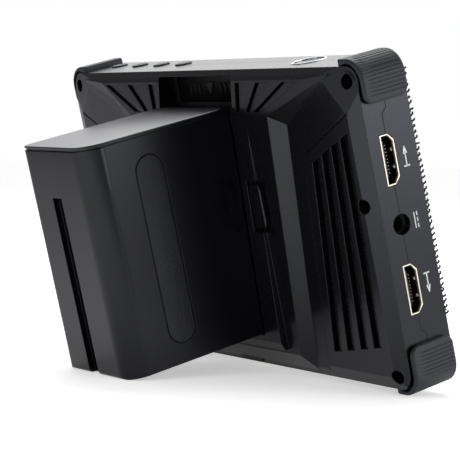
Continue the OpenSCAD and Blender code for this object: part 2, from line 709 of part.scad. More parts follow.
// Video sockets: a folded steel shell round a plastic tongue
module video_shell(z) color("#c9bfa8") translate([0, socket_y, z]) difference() {
    along_x(-half_w - 0.1, -half_w + video_depth) video_outline(0);
    along_x(-half_w - 1, -half_w + video_depth - 0.5) video_outline(-video_wall);
}
module video_tongue(z) color("#33405c") {
    block([-half_w + 0.9, -half_w + video_depth - 0.5], [socket_y - 0.2, socket_y + 0.9], span(z, 10.8));
    block([-half_w + 8, -half_w + video_depth - 0.5], [socket_y - 1.6, socket_y + 1.8], span(z, 10));
}
module video_out_shell() video_shell(video_out_z);
module video_in_shell() video_shell(video_in_z);
module video_out_tongue() video_tongue(video_out_z);
module video_in_tongue() video_tongue(video_in_z);

module power_jack_body() color("#1c1c1f") difference() {
    block(
        [-inner_hw + 0.2, -inner_hw + jack_body[0]], span(socket_y, jack_body[1]),
        span(jack_z, jack_body[2]));
    rod_x(socket_y, jack_z, -half_w, -inner_hw + 10, jack_r - 0.2);
    rod_x(socket_y, jack_z, -half_w, -inner_hw + 11.5, jack_pin_r);
}
module power_jack_pin() color("#d9dadc")
    rod_x(socket_y, jack_z, jack_pin_x, -inner_hw + 11.5, jack_pin_r);

// Buttons, their switches and the board that carries them
module button_board() color("#1e5c3a") {
    block([power_x - 7, menu_x[3] + 6], [face_t + seat, 8.6], [switch_board_z, switch_board_z + 1]);
    block([power_x - 7, power_x + 7], [8.5, power_y + 3], [switch_board_z, switch_board_z + 1]);
}
module switch_at(x, y) {
    block(span(x, 4.2), span(y, 4.2), [switch_board_z + 1, switch_top_z - 0.4]);
    rod_z(x, y, switch_top_z - 0.5, switch_top_z, 0.9);
}
module button_switches() color("#8f9196") {
    for (x = menu_x) switch_at(x, menu_y);
    switch_at(power_x, power_y);
}
module button(x, y, r, grip, top) {
    rod_z(x, y, flange_z - 0.5, top, r);
    rod_z(x, y, flange_z - flange_t, flange_z, r + grip);
    rod_z(x, y, stem_z, flange_z - flange_t + 0.1, 1.1);
}
module menu_button(i) color("#8b8d92") button(menu_x[i], menu_y, menu_r, 0.5, body_h + button_proud);
module menu_button_1() menu_button(0);
module menu_button_2() menu_button(1);
module menu_button_3() menu_button(2);
module menu_button_4() menu_button(3);
module power_button() color("#2c2d30") button(power_x, power_y, power_r, 0.8, body_h + 0.1);
module power_ring() color("#d5d6d9") difference() {
    rod_z(power_x, power_y, body_h - wall, body_h + 0.3, ring_r);
    rod_z(power_x, power_y, body_h - 5, body_h + 1, power_r + play);
}

// Release tab in the channel above the battery, with a tongue behind the plate and a tooth that ends
// just short of the battery's catch
tab_face_y = mount_y - 0.3;
tab_back_y = plate_front_y - 0.2 - 1.1;
module release_tab() color("#232326") {
    block([-tab_hw, tab_hw], [tab_back_y + 0.5, tab_face_y], [ledge_z + 1, channel_top_z - 1]);
    block([-1, 1] * (tab_hw + 1.6), [tab_back_y, tab_back_y + 1.1], [ledge_z - 3, channel_top_z - 0.6]);
    block([-5, 5], [tab_back_y, tab_back_y + 1.1], [tooth_z - 4.5, ledge_z - 2]);
    block([-2.5, 2.5], [tab_back_y + 0.5, batt_in_y - 0.05], span(tooth_z, 3));
}
// Leaf spring under the tongue, fixed to the plate and drawn at its pressed height
module release_spring() color("#a4a7ab") {
    low = tab_back_y - tab_travel - seat;
    root = tooth_z - 29.5;
    along_x(-3, 3) polygon([
        [plate_front_y, root], [plate_front_y, root + 7.4], [low, root + 21], [low, root + 34],
        [low - 0.3, root + 34], [low - 0.3, root + 20.9], [plate_front_y - 0.3, root + 7.1],
        [plate_front_y - 0.3, root]]);
}

module lock_slider() color("#29292c") {
    block(span(lock_x, lock_w), [lock_floor_y + 0.3, lock_top_y], span(lock_z, lock_l));
    block([lock_x - 1, lock_x + 1], [18, lock_floor_y + 0.5], [lock_z - 3, lock_z + 3]);
}
module lock_clip() color("#b4b6ba")
    block([lock_x - 2.2, lock_x + 2.2], [17.2, 18], [lock_z - 5, lock_z + 5]);

// Contacts that the battery slides onto
terminal_z = pocket_low_z + 0.1;
terminal_x = [-6, 0, 6];
blade_y = mount_y + 1.4;
module terminal_block() color("#1d1d20")
    block([-9, 9], [mount_y, mount_y + 2.4], [terminal_z, terminal_z + 5]);
module terminal_blades() color("#d8b65c") for (x = terminal_x)
    block([x - 0.8, x + 0.8], [blade_y - 0.25, blade_y + 0.25], [terminal_z + 5, terminal_z + 11]);

module tripod_insert() color("#c8a24a") difference() {
    rod_z(0, 12, 0, tripod_l + 0.3, 4);
    rod_z(0, 12, -1, tripod_l, tripod_r);
}

module cover_screws() color("#4a4b4f") for (s = screw_places) {
    rod_y(s[0], s[1], 4, screw_seat_y + 0.5, screw_r);
    difference() {
        rod_y(s[0], s[1], screw_seat_y, screw_seat_y + screw_head_t, screw_head_r);
        for (a = [0, 90])
            translate([s[0], screw_seat_y + screw_head_t, s[1]]) rotate([0, a, 0])
                cube([2.2, 1.4, 0.5], center = true);
    }
}
module board_screws() color("#9b9da1") for (p = board_screw_places) {
    rod_y(p[0], p[1], support_y - seat, board_back_y + 0.5, 1.1);
    rod_y(p[0], p[1], board_back_y, board_back_y + 1.2, 1.9);
}
module plate_screws() color("#9b9da1") for (p = plate_screw_places) {
    rod_y(p[0], p[1], plate_front_y - 0.9, plate_front_y, 1.6);
    rod_y(p[0], p[1], plate_front_y - 0.5, mount_y + 3, 1);
}

// Battery: case, outer cover, end cap over both, grips and what is inside
case_wall = (batt_w - 2 * cell_d) / 2 - 0.15;
cell_y = [for (i = [0:2]) batt_out_y - 10.95 - 18.25 * (2 - i)];
case_floor_y = cell_y[0] - cell_d / 2 - 0.1;
cap_t = 1.2;
cap_low_z = batt_top_z - cap_t;
cap_end_y = batt_in_y + 7.1;
cap_corner_r = 4;
grip = [9.8, 58.8];
grip_y = batt_out_y - 21.1;
slot_x = [0, 5.6];
slot_top_z = ledge_z - 15.1;
slot_d = 2;
module stadium(w, l) {
    translate([0, w / 2 - l / 2]) circle(d = w, $fn = 48);
    translate([0, l / 2 - w / 2]) circle(d = w, $fn = 48);
    square([w, l - w], center = true);
}
module grip_form(w, x0, x1) translate([0, grip_y, (batt_low_z + ledge_z) / 2])
    along_x(x0, x1) stadium(w, grip[1] - grip[0] + w);

module battery_case() color("#2c2d31") difference() {
    block([-batt_hw, batt_hw], [batt_in_y, batt_seam_y], [batt_low_z, cap_low_z - seat]);
    block(
        [-1, 1] * (batt_hw - case_wall), [case_floor_y, far],
        [batt_low_z + case_wall + 0.3, cap_low_z - 1.3]);
    both_sides() {
        block([batt_hw - rail_reach - groove_play, far], rail_y + groove_play * [-1, 1], [0, far]);
        for (z = rail_z)
            block(
                [batt_hw - rail_reach - groove_play, far], [0, rail_y[1]],
                z - [batt_travel + 0.5, batt_travel - 0.5]);
    }
    block([-10, 10], [0, mount_y + 2.7], [0, terminal_z + 12]);
    block([-3.2, 3.2], [0, batt_in_y + 1.4], [tooth_z - 2 - batt_travel, tooth_z + 2.1]);
    grip_form(grip[0] + 0.2, batt_hw - 0.45, far);
    grip_form(grip[0] + 0.2, -far, -batt_hw + 0.45);
}
outer_edge = concat(
    arc([batt_hw - batt_far_r, batt_out_y - batt_far_r], batt_far_r, 0, 90, 8),
    arc([batt_r - batt_hw, batt_out_y - batt_r], batt_r, 90, 180, 12));
module battery_cover() color("#2f3034") difference() {
    intersection() {
        along_z(batt_low_z, cap_low_z - seat)
            polygon(concat(outer_edge, [[-batt_hw, batt_seam_y + seat], [batt_hw, batt_seam_y + seat]]));
        union() {
            block([-far, far], [0, far], [batt_low_z + batt_foot_r, far]);
            block([-far, far], [0, batt_out_y - batt_foot_r], [0, far]);
            rod_x(batt_out_y - batt_foot_r, batt_low_z + batt_foot_r, -far, far, batt_foot_r);
        }
    }
    block([4.2 - batt_hw, batt_hw - case_wall], [0, batt_out_y - 3.4], [batt_low_z + 1.1, cap_low_z - 1.2]);
    block([-1, 1] * (batt_hw - case_wall), [0, cell_y[2] + 5], [batt_low_z + 1.1, cap_low_z - 1.2]);
    for (x = [-1, 1] * cell_d / 2)
        rod_z(x, cell_y[2], batt_low_z + 1.1, cap_low_z - 1.2, cell_d / 2 + 0.1);
    block(slot_x, [batt_out_y - slot_d, far], [0, slot_top_z]);
}
module battery_end_cap() color("#2c2d31") along_z(cap_low_z, batt_top_z) polygon(concat(
    outer_edge,
    arc([cap_corner_r - batt_hw, cap_end_y + cap_corner_r], cap_corner_r, 180, 270, 8),
    arc([batt_hw - cap_corner_r, cap_end_y + cap_corner_r], cap_corner_r, 270, 360, 8)));
module battery_grip_left() color("#232428") grip_form(grip[0], -batt_hw - 0.1, -batt_hw + 0.45);
module battery_grip_right() color("#232428") grip_form(grip[0], batt_hw - 0.45, batt_hw + 0.1);

cell_z = batt_low_z + 3;
module battery_cells() color("#3f6fb0") for (y = cell_y) for (x = [-1, 1] * cell_d / 2)
    rod_z(x, y, cell_z, cell_z + cell_l, cell_d / 2 - 0.03);
module cell_straps() color("#c4c6ca") for (y = cell_y)
    block([-1, 1] * (cell_d / 2 + 2.9), span(y, 6), [cell_z + cell_l, cell_z + cell_l + 0.3]);
module protection_board() color("#1e5c3a")
    block([-1, 1] * (batt_hw - 2.2), [batt_in_y + 8.1, batt_seam_y - 6.3], [cell_z - 1.2, cell_z - 0.1]);
module battery_contacts() color("#d8b65c") for (x = terminal_x)
    block([x - 1, x + 1], [mount_y + 2.1, mount_y + 2.7], [terminal_z + 6, terminal_z + 11]);

standing() front_bezel();
standing() rear_cover();
standing() bumper_top_left();
standing() bumper_top_right();
standing() bumper_bottom_left();
standing() bumper_bottom_right();
standing() hook_tape_left();
standing() hook_tape_right();
standing() cover_glass();
standing() lcd_panel();
standing() backlight();
standing() support_plate();
standing() main_board();
standing() processor();
standing() heat_spreader();
standing() screen_ribbon();
standing() video_out_shell();
standing() video_out_tongue();
standing() video_in_shell();
standing() video_in_tongue();
standing() power_jack_body();
standing() power_jack_pin();
standing() button_board();
standing() button_switches();
standing() menu_button_1();
standing() menu_button_2();
standing() menu_button_3();
standing() menu_button_4();
standing() power_button();
standing() power_ring();
standing() release_tab();
standing() release_spring();
standing() lock_slider();
standing() lock_clip();
standing() battery_plate();
standing() terminal_block();
standing() terminal_blades();
standing() tripod_insert();
standing() cover_screws();
standing() board_screws();
standing() plate_screws();
standing() battery_case();
standing() battery_cover();
standing() battery_end_cap();
standing() battery_grip_left();
standing() battery_grip_right();
standing() battery_cells();
standing() cell_straps();
standing() protection_board();
standing() battery_contacts();
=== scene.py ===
# %% [markdown]
# # A camera monitor that leans back on its battery
# The monitor stands on a white table, seen from behind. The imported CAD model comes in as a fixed
# frame: every node already lies where it belongs, in metres, with z up. Each later step either
# gives a node its real finish or makes a finer surface that takes the node's place.

import json
import bmesh
import bpy
import numpy as np
from mathutils import Matrix, Vector


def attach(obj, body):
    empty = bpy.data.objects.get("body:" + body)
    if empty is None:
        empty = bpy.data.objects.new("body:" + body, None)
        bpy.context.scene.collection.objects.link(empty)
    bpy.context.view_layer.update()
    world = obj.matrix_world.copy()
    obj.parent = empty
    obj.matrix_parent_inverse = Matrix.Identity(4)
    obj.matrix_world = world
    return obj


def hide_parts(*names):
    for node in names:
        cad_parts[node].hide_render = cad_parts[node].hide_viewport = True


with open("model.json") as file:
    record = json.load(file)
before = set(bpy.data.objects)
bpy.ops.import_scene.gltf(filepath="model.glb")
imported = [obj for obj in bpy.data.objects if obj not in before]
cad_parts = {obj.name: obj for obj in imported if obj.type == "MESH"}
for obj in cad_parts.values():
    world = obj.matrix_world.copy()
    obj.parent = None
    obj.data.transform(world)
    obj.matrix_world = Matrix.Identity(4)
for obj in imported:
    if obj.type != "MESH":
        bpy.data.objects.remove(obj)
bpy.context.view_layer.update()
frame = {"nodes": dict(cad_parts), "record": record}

# %% [markdown]
# ## Upright numbers for a leaning object
# The housing leans, so its edges are awkward to describe in the frame of the table. All new pieces
# are worked out upright, in millimetres, with x to the right seen from the screen, y to the back
# and z up. One rotation about x and one shift then put whole arrays of points where the CAD has
# them.

# %% Upright millimetres to metres on the table
LEAN = np.radians(15.1369)
SHIFT = np.array([0.0, -46.5768, 6.05641])
TURN = np.array([[1, 0, 0], [0, np.cos(LEAN), np.sin(LEAN)], [0, -np.sin(LEAN), np.cos(LEAN)]])


def placed(points):
    """Table point = upright point turned about x by the lean, plus the shift; mm become m."""
    return (np.asarray(points, float) @ TURN.T + SHIFT) / 1000


# The housing: half its width, its height, its depth at the side walls, the side wall with sockets.
HALF_W, BODY_H, SIDE_D = 161.6 / 2, 96.3, 16.9
MID_Z, WALL_X = BODY_H / 2, -HALF_W
# The battery: foot, top, half its width, seam of the cover, outer face, rounding of the foot.
BATT_LOW, BATT_TOP, BATT_HW = 13.3, 85.4, 19.2
BATT_SEAM, BATT_OUT, FOOT_R = 66.3, 73.4, 1.2
foot = placed([0, BATT_OUT - FOOT_R, BATT_LOW])
print("foot of the battery at z =", round(float(foot[2]) * 1000, 2), "mm")

# %% [markdown]
# ## Camera
# The camera's place and direction come from edges of the object whose real length is known. The
# three directions below are its right, down and forward axes, upright like the rest, and the lens
# is the fitted focal length over the frame's width on a 36 mm sensor.

# %% Camera at the photograph's place
CAMERA_AT = [-504.18, 335.70, 160.97]
CAMERA_AXES = [[-0.55648, -0.80866, -0.19079], [-0.05566, 0.26540, -0.96253],
               [0.82900, -0.52500, -0.19270]]
FOCAL_PX, FRAME_PX, CENTRE_PX = 1899.16, 460, (230.33, 230.46)
right, down, forward = np.array(CAMERA_AXES) @ TURN.T
camera_data = bpy.data.cameras.new("camera")
camera_data.sensor_width = 36
camera_data.lens = FOCAL_PX / FRAME_PX * camera_data.sensor_width
camera_data.shift_x = (FRAME_PX / 2 - CENTRE_PX[0]) / FRAME_PX
camera_data.shift_y = (CENTRE_PX[1] - FRAME_PX / 2) / FRAME_PX
camera_data.clip_start, camera_data.clip_end = 0.05, 20
camera = bpy.data.objects.new("camera", camera_data)
facing = Matrix(np.array([right, -down, -forward]).T).to_4x4()
camera.matrix_world = Matrix.Translation(placed(CAMERA_AT)) @ facing
bpy.context.scene.collection.objects.link(camera)
bpy.context.scene.camera = camera
print("lens", round(camera_data.lens, 1), "mm at", [round(float(v), 3) for v in placed(CAMERA_AT)])

# %% [markdown]
# ## Small helpers for materials
# Colours are picked from a screen, so they are sRGB hex values, and the renderer wants them linear.
# Nodes are added with one call each, which sets their options, values, links and, on a colour ramp,
# its two stops.

# %% Colour and node helpers


def linear(code, light=1.0):
    """sRGB to linear: (c + 0.055) / 1.055 to the power 2.4, or c / 12.92 if dark, times light."""
    c = np.array([int(code[i:i + 2], 16) for i in (1, 3, 5)]) / 255
    return (*np.where(c <= 0.04045, c / 12.92, ((c + 0.055) / 1.055) ** 2.4) * light, 1)


def plug(tree, node, inputs):
    """Gives each named input a value, or a link where it comes from another node's output."""
    for name, value in inputs.items():
        if isinstance(value, bpy.types.NodeSocket):
            tree.links.new(value, node.inputs[name])
        else:
            node.inputs[name].default_value = value


def add(tree, kind, inputs=None, stops=(), **options):
    """One node with its options and inputs set, and the two stops of its ramp as (place, colour)."""
    node = tree.nodes.new(kind)
    for name, value in options.items():
        setattr(node, name, value)
    plug(tree, node, inputs or {})
    for number, (position, colour) in enumerate(stops):
        node.color_ramp.elements[number].position = position
        node.color_ramp.elements[number].color = colour
    return node


def new_material(name, inputs):
    """A principled material with plain values on the shader's own sockets."""
    material = bpy.data.materials.new(name)
    material.use_nodes = True
    shader = material.node_tree.nodes["Principled BSDF"]
    plug(material.node_tree, shader, inputs)
    return material, material.node_tree, shader


def per_metre(millimetres):
    """Noise scale whose features are about that many millimetres across."""
    return 1000 / millimetres


print("white in linear light:", linear("#ffffff"))

# %% [markdown]
# ## Moulded plastic
# The housing is black ABS, injection moulded in a spark-eroded tool. That leaves a fine even grain
# of about 0.3 mm, a soft sheen, and faint clouds where the melt cooled unevenly. The grain is a
# noise that drives bump and a little roughness, at its real size in Object coordinates. A Bevel
# node rounds every edge in the normals only, so that the CAD mesh itself stays as it is.

# %% How a moulded surface is made
CLOUD_MM, ROUGH_SWING, EDGE_RAYS = 28, 0.06, 6
SHEEN_TINT = "#eef1ff"    # black plastic reflects the room a little cooler than it is


def moulded(name, colour, roughness, grain=0.35, depth=0.02, clouds=0.12, edge=0.3, index=1.5):
    """Colour = base times 1 -/+ clouds by a slow noise; roughness and bump = a noise of grain mm,
    the bump depth mm deep, over edges rounded to edge mm."""
    material, tree, shader = new_material(name, {
        "Roughness": roughness, "IOR": index, "Specular Tint": linear(SHEEN_TINT)})
    place = add(tree, "ShaderNodeTexCoord").outputs["Object"]
    fine = add(tree, "ShaderNodeTexNoise", {
        "Vector": place, "Scale": per_metre(grain), "Detail": 2.0, "Roughness": 0.55}).outputs["Fac"]
    slow = add(tree, "ShaderNodeTexNoise", {
        "Vector": place, "Scale": per_metre(CLOUD_MM), "Detail": 3.0}).outputs["Fac"]
    shade = add(tree, "ShaderNodeValToRGB", {"Fac": slow}, stops=[
        (0.3, linear(colour, 1 - clouds)), (0.7, linear(colour, 1 + clouds))])
    rough = add(tree, "ShaderNodeMapRange", {
        "Value": fine, "To Min": roughness - ROUGH_SWING, "To Max": roughness + ROUGH_SWING})
    rounded = add(tree, "ShaderNodeBevel", {"Radius": edge / 1000}, samples=EDGE_RAYS)
    bump = add(tree, "ShaderNodeBump", {
        "Height": fine, "Strength": 0.35, "Distance": depth / 1000,
        "Normal": rounded.outputs["Normal"]})
    plug(tree, shader, {"Base Color": shade.outputs["Color"], "Roughness": rough.outputs["Result"],
                        "Normal": bump.outputs["Normal"]})
    return material


print("grain scale at 0.35 mm:", round(per_metre(0.35)))

# %% [markdown]
# ## The moulded shades
# All of the black parts are ABS or a close relative, yet no two look alike. What tells them apart
# is how rough the tool was and how strongly the surface mirrors the room, more than the colour
# itself.

# %% Moulded plastic in its shades
# The two halves of the housing: near black, with a broad soft highlight on each slope.
abs_cover = moulded("black_abs_spark_grain", "#0a0a0c", 0.26)
abs_front = moulded("black_abs_front", "#08080a", 0.26)
# The battery: almost no colour of its own, so it shows mostly the paper that it mirrors.
abs_battery = moulded("graphite_abs_satin", "#020204", 0.24, grain=0.3, depth=0.012, index=1.42)
# Its lid: the same plastic from a glossier tool, which catches the lamp above; its base colour is
# painted lighter than the battery's, as painted light from above.
abs_lid = moulded("graphite_abs_lid", "#0b0c10", 0.3, grain=0.3, depth=0.008, index=1.6)
# The inlay: a leather-like grain, drawn deeper than the real one so that it shows from here.
abs_grip = moulded("graphite_abs_coarse_grain", "#0a0a0e", 0.36, grain=0.45, depth=0.5, clouds=0.2)
# Pieces deep inside are dull, and the tab in its dark channel is duller still.
abs_inner = moulded("black_abs_inner", "#08080a", 0.5)
abs_tab = moulded("black_abs_matt_tab", "#040405", 0.5, grain=0.4, depth=0.02, index=1.35)
# Chips are cast in epoxy, which looks dusty beside plastic.
chip_epoxy = moulded("black_epoxy_moulding", "#1a1a1c", 0.6, grain=0.2)
# The tongues in the video sockets are a stiff grey polymer with sharp little edges.
carrier_lcp = moulded("grey_lcp_contact_carrier", "#3d4858", 0.4, grain=0.4, depth=0.01, edge=0.1)
# Buttons: the small ones are dull, the power button has a polished top.
button_abs = moulded("dark_abs_button", "#101216", 0.5, grain=0.4, depth=0.01)
power_abs = moulded("black_abs_polished_button", "#08080a", 0.26, grain=0.35, depth=0.02)
# The light guide is white acrylic. The sleeve of a cell is shrunk on, and wrinkles a little.
light_guide = moulded("white_acrylic_light_guide", "#e6e6e1", 0.5, grain=0.5, depth=0.01)
cell_sleeve = moulded("blue_shrink_sleeve", "#2a5fa6", 0.3, grain=1.5, depth=0.02)
# The signs are a thin layer of screen ink, flat and even.
white_print = moulded("white_screen_print", "#f2f4f6", 0.5, grain=0.2, depth=0.004, clouds=0.05,
                      edge=0.02)
print("moulded shades:", len(bpy.data.materials))

# %% [markdown]
# ## Metals
# Steel, brass, aluminium and plated contacts are full metals at their default index. Rolling,
# turning, blasting or plating leaves each its own roughness, and rolled or turned metal has it drawn
# out in one direction. The shell of a socket is painted dark from just inside its rim: painted shade,
# which stands in for the shadow deep inside the socket.

# %% The metals
# Depths inside the side wall over which the painted shade darkens a socket's shell.
PAINTED_SHADE_FROM, PAINTED_SHADE_TO = (WALL_X + 0.5) / 1000, (WALL_X + 1.0) / 1000


def metal(name, colour, roughness, grain=0.5, stretch=(1, 1, 1), painted_shade=None):
    """Roughness and bump = one noise of grain mm, stretched. Base = colour, turning to the painted
    shade colour, if there is one, from half a millimetre inwards of the side wall."""
    material, tree, shader = new_material(name, {
        "Metallic": 1.0, "Roughness": roughness, "Base Color": linear(colour)})
    place = add(tree, "ShaderNodeTexCoord").outputs["Object"]
    worked = add(tree, "ShaderNodeMapping", {"Vector": place, "Scale": stretch}).outputs["Vector"]
    noise = add(tree, "ShaderNodeTexNoise", {
        "Vector": worked, "Scale": per_metre(grain), "Detail": 3.0}).outputs["Fac"]
    rough = add(tree, "ShaderNodeMapRange", {
        "Value": noise, "To Min": roughness - 0.08, "To Max": roughness + 0.1})
    bump = add(tree, "ShaderNodeBump", {"Height": noise, "Strength": 0.2, "Distance": 0.01 / 1000})
    plug(tree, shader, {"Roughness": rough.outputs["Result"], "Normal": bump.outputs["Normal"]})
    # Painted shade: the base colour darkens inwards of the side wall, standing in for the shadow deep
    # in a socket.
    if painted_shade:
        across = add(tree, "ShaderNodeSeparateXYZ", {"Vector": place}).outputs["X"]
        inwards = add(tree, "ShaderNodeMapRange", {
            "Value": across, "From Min": PAINTED_SHADE_FROM, "From Max": PAINTED_SHADE_TO}).outputs["Result"]
        shade = add(tree, "ShaderNodeValToRGB", {"Fac": inwards}, stops=[
            (0, linear(colour)), (1, linear(painted_shade))])
        plug(tree, shader, {"Base Color": shade.outputs["Color"]})
    return material


# The sockets' shells are nickel over steel: a warm pale rim, with painted shade that turns them dark
# brown inside.
socket_steel = metal("nickel_plated_steel_warm", "#efe6d4", 0.34, painted_shade="#2c2823")
# Rolled sheet and turned brass shine in streaks that follow the roll or the cut.
sheet_steel = metal("rolled_steel_sheet", "#a9abae", 0.35, stretch=(1, 1, 12))
turned_brass = metal("turned_brass", "#c9a55a", 0.3, stretch=(1, 1, 8))
# Chrome is the only near mirror here, so the power ring draws the eye.
bright_chrome = metal("bright_chrome_plate", "#c9cbcd", 0.12)
# Blasted aluminium is pale and even, gold plate is smooth and warm, oxide black hardly shines.
cooler_aluminium = metal("bead_blasted_aluminium", "#b7babd", 0.45, grain=0.25)
gold_plate = metal("gold_plated_contact", "#d8b765", 0.25)
black_screw = metal("black_oxide_steel", "#0b0b0c", 0.4)
print("finishes so far:", len(bpy.data.materials))

# %% [markdown]
# ## Rubber, cloth and boards
# Rubber is duller and rougher than the plastic, with a faint mottle. A circuit board is green
# lacquer over woven glass cloth, and the hook tape is woven nylon. Both weaves are two sets of
# waves that cross, one for each set of threads, at the real spacing of the threads.

# %% Rubber and woven finishes
THREADS_PER_SCALE = 3    # a wave texture at scale 1 has about three bands to the unit


def rubber(name, colour):
    """Colour = base times 0.8 to 1.2 by a 0.5 mm noise, with a faint bump from the same noise."""
    material, tree, shader = new_material(name, {"Roughness": 0.48, "IOR": 1.45})
    place = add(tree, "ShaderNodeTexCoord").outputs["Object"]
    mottle = add(tree, "ShaderNodeTexNoise", {
        "Vector": place, "Scale": per_metre(0.5), "Detail": 3.0}).outputs["Fac"]
    shade = add(tree, "ShaderNodeValToRGB", {"Fac": mottle}, stops=[
        (0, linear(colour, 0.8)), (1, linear(colour, 1.2))])
    bump = add(tree, "ShaderNodeBump", {"Height": mottle, "Strength": 0.3, "Distance": 0.03 / 1000})
    plug(tree, shader, {"Base Color": shade.outputs["Color"], "Normal": bump.outputs["Normal"]})
    return material


def crossed_threads(tree, spacing, mix, wobble=0.0):
    """Weave = waves across x mixed with waves across z, spacing mm apart, made crooked by wobble."""
    waves = {"Vector": add(tree, "ShaderNodeTexCoord").outputs["Object"],
             "Scale": per_metre(spacing) / THREADS_PER_SCALE, "Distortion": wobble}
    warp = add(tree, "ShaderNodeTexWave", waves, bands_direction="X").outputs["Fac"]
    weft = add(tree, "ShaderNodeTexWave", waves, bands_direction="Z").outputs["Fac"]
    return add(tree, "ShaderNodeMath", {0: warp, 1: weft}, operation=mix).outputs["Value"]


def lacquered_board(name, colour):
    """Colour = base times 0.8 to 1.25 by a 0.7 mm weave that shows faintly through the gloss."""
    material, tree, shader = new_material(name, {"Roughness": 0.3, "IOR": 1.5})
    weave = crossed_threads(tree, 0.7, "MULTIPLY")
    shade = add(tree, "ShaderNodeValToRGB", {"Fac": weave}, stops=[
        (0, linear(colour, 0.8)), (1, linear(colour, 1.25))])
    plug(tree, shader, {"Base Color": shade.outputs["Color"]})
    return material


def woven_nylon(name, colour):
    """Colour = base times 0.5 to 1.4, and bump, by a 0.6 mm weave; a sheen lights the fibres."""
    material, tree, shader = new_material(name, {"Roughness": 0.7, "IOR": 1.35, "Sheen Weight": 0.1})
    weave = crossed_threads(tree, 0.6, "MAXIMUM", wobble=0.6)
    shade = add(tree, "ShaderNodeValToRGB", {"Fac": weave}, stops=[
        (0, linear(colour, 0.5)), (1, linear(colour, 1.4))])
    bump = add(tree, "ShaderNodeBump", {"Height": weave, "Strength": 0.6, "Distance": 0.1 / 1000})
    plug(tree, shader, {"Base Color": shade.outputs["Color"], "Normal": bump.outputs["Normal"]})
    return material


# Silicone rubber: a cool grey that stands out from the plastic by being paler and duller.
bumper_rubber = rubber("grey_silicone_rubber", "#23272f")
nylon_hooks = woven_nylon("black_nylon_hook_tape", "#050506")
# The ribbon is amber film with its copper tracks, which at this scale look like a weave too.
board_lacquer = lacquered_board("green_board_lacquer", "#12472a")
flex_film = lacquered_board("amber_polyimide_film", "#8a4d1d")
print("finishes so far:", len(bpy.data.materials))

# %% [markdown]
# ## Screen
# The screen is clear toughened glass over a dark panel. The panel's picture cells are a fraction of
# a millimetre wide, and switched off they show only as a faint honeycomb in the black.

# %% Glass and panel
screen_glass = new_material("tempered_cover_glass", {
    "Roughness": 0.03, "IOR": 1.5, "Transmission Weight": 1.0, "Base Color": linear("#c8ccd0")})[0]
screen_panel, panel_tree, panel_shader = new_material("black_screen_panel", {
    "Roughness": 0.25, "IOR": 1.5})
panel_place = add(panel_tree, "ShaderNodeTexCoord").outputs["Object"]
# Real picture cells are too fine to see, so these are drawn 0.4 mm wide.
cells = add(panel_tree, "ShaderNodeTexVoronoi", {"Vector": panel_place, "Scale": per_metre(0.4)})
cell_shade = add(panel_tree, "ShaderNodeValToRGB", {"Fac": cells.outputs["Distance"]}, stops=[
    (0, linear("#0b0c0f")), (1, linear("#101216"))])
plug(panel_tree, panel_shader, {"Base Color": cell_shade.outputs["Color"]})
print("finishes:", len(bpy.data.materials))

# %% [markdown]
# ## Every node gets its finish
# A node's slot in the record says what it is made of. This table pairs each slot with the material
# that shows it best, and each node's material slots are filled from it. Pieces that replace a node
# later take the same material.

# %% Fill the material slots
FINISH = {
    "housing_plastic": abs_front, "cover_plastic": abs_cover, "bumper_rubber": bumper_rubber,
    "hook_fabric": nylon_hooks, "screen_glass": screen_glass, "panel_black": screen_panel,
    "diffuser_white": light_guide, "sheet_steel": sheet_steel, "board_green": board_lacquer,
    "chip_black": chip_epoxy, "heat_aluminium": cooler_aluminium, "ribbon_orange": flex_film,
    "socket_steel": socket_steel, "tongue_blue": carrier_lcp, "jack_black": abs_inner,
    "jack_pin_chrome": bright_chrome, "button_grey": button_abs, "power_black": power_abs,
    "ring_chrome": bright_chrome, "tab_plastic": abs_tab, "slider_plastic": abs_front,
    "plate_plastic": abs_inner, "contact_brass": gold_plate, "insert_brass": turned_brass,
    "screw_black": black_screw, "screw_steel": sheet_steel, "battery_plastic": abs_battery,
    "grip_plastic": abs_grip, "cell_wrap": cell_sleeve,
}
SLOT = {part["node"]: part["material_slot"] for part in frame["record"]["subparts"]}
BODY = {node: body for body, members in frame["record"]["behaviour"]["bodies"].items()
        for node in members}
for node, thing in frame["nodes"].items():
    thing.data.materials.clear()
    thing.data.materials.append(FINISH[SLOT[node]])
print("slots filled:", len(set(SLOT.values())))

# %% [markdown]
# ## Softened edges
# A moulded part has no knife edges: the tool leaves a radius of a few tenths of a millimetre, and
# that thin bright line is what makes a black object readable. The CAD node is right but sharp, so a
# copy of its mesh is merged and a Bevel modifier rounds its edges.

# %% From a mesh to a piece on its body
CAD_FOLD, OWN_FOLD = 25, 38    # degrees: a sharper fold shows as an edge, a flatter one is smooth


def finished(mesh, name, material, body, node=None, fold=OWN_FOLD):
    """A piece of this mesh: smooth but for its folds, in its material, riding on its body."""
    mesh.polygons.foreach_set("use_smooth", np.ones(len(mesh.polygons), bool))
    mesh.set_sharp_from_angle(angle=np.radians(fold))
    mesh.materials.append(material)
    piece = bpy.data.objects.new(name, mesh)
    bpy.context.scene.collection.objects.link(piece)
    if node:
        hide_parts(node)
    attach(piece, body)
    return piece


def softened(node, radius):
    """A copy of the node with its doubles merged and every fold rounded to the radius in mm."""
    mesh = bpy.data.meshes.new(node + "_soft")
    work = bmesh.new()
    work.from_mesh(frame["nodes"][node].data)
    bmesh.ops.remove_doubles(work, verts=work.verts, dist=2e-6)
    bmesh.ops.dissolve_degenerate(work, dist=1e-6, edges=work.edges)
    work.to_mesh(mesh)
    work.free()
    slot = SLOT[node]
    piece = finished(mesh, node + "_soft", FINISH[slot], BODY[node], node, CAD_FOLD)
    if radius:
        bevel = piece.modifiers.new("soft_edges", "BEVEL")
        bevel.width, bevel.segments = radius / 1000, 2
        bevel.limit_method, bevel.angle_limit = "ANGLE", np.radians(CAD_FOLD)
        bevel.harden_normals, bevel.use_clamp_overlap = True, True


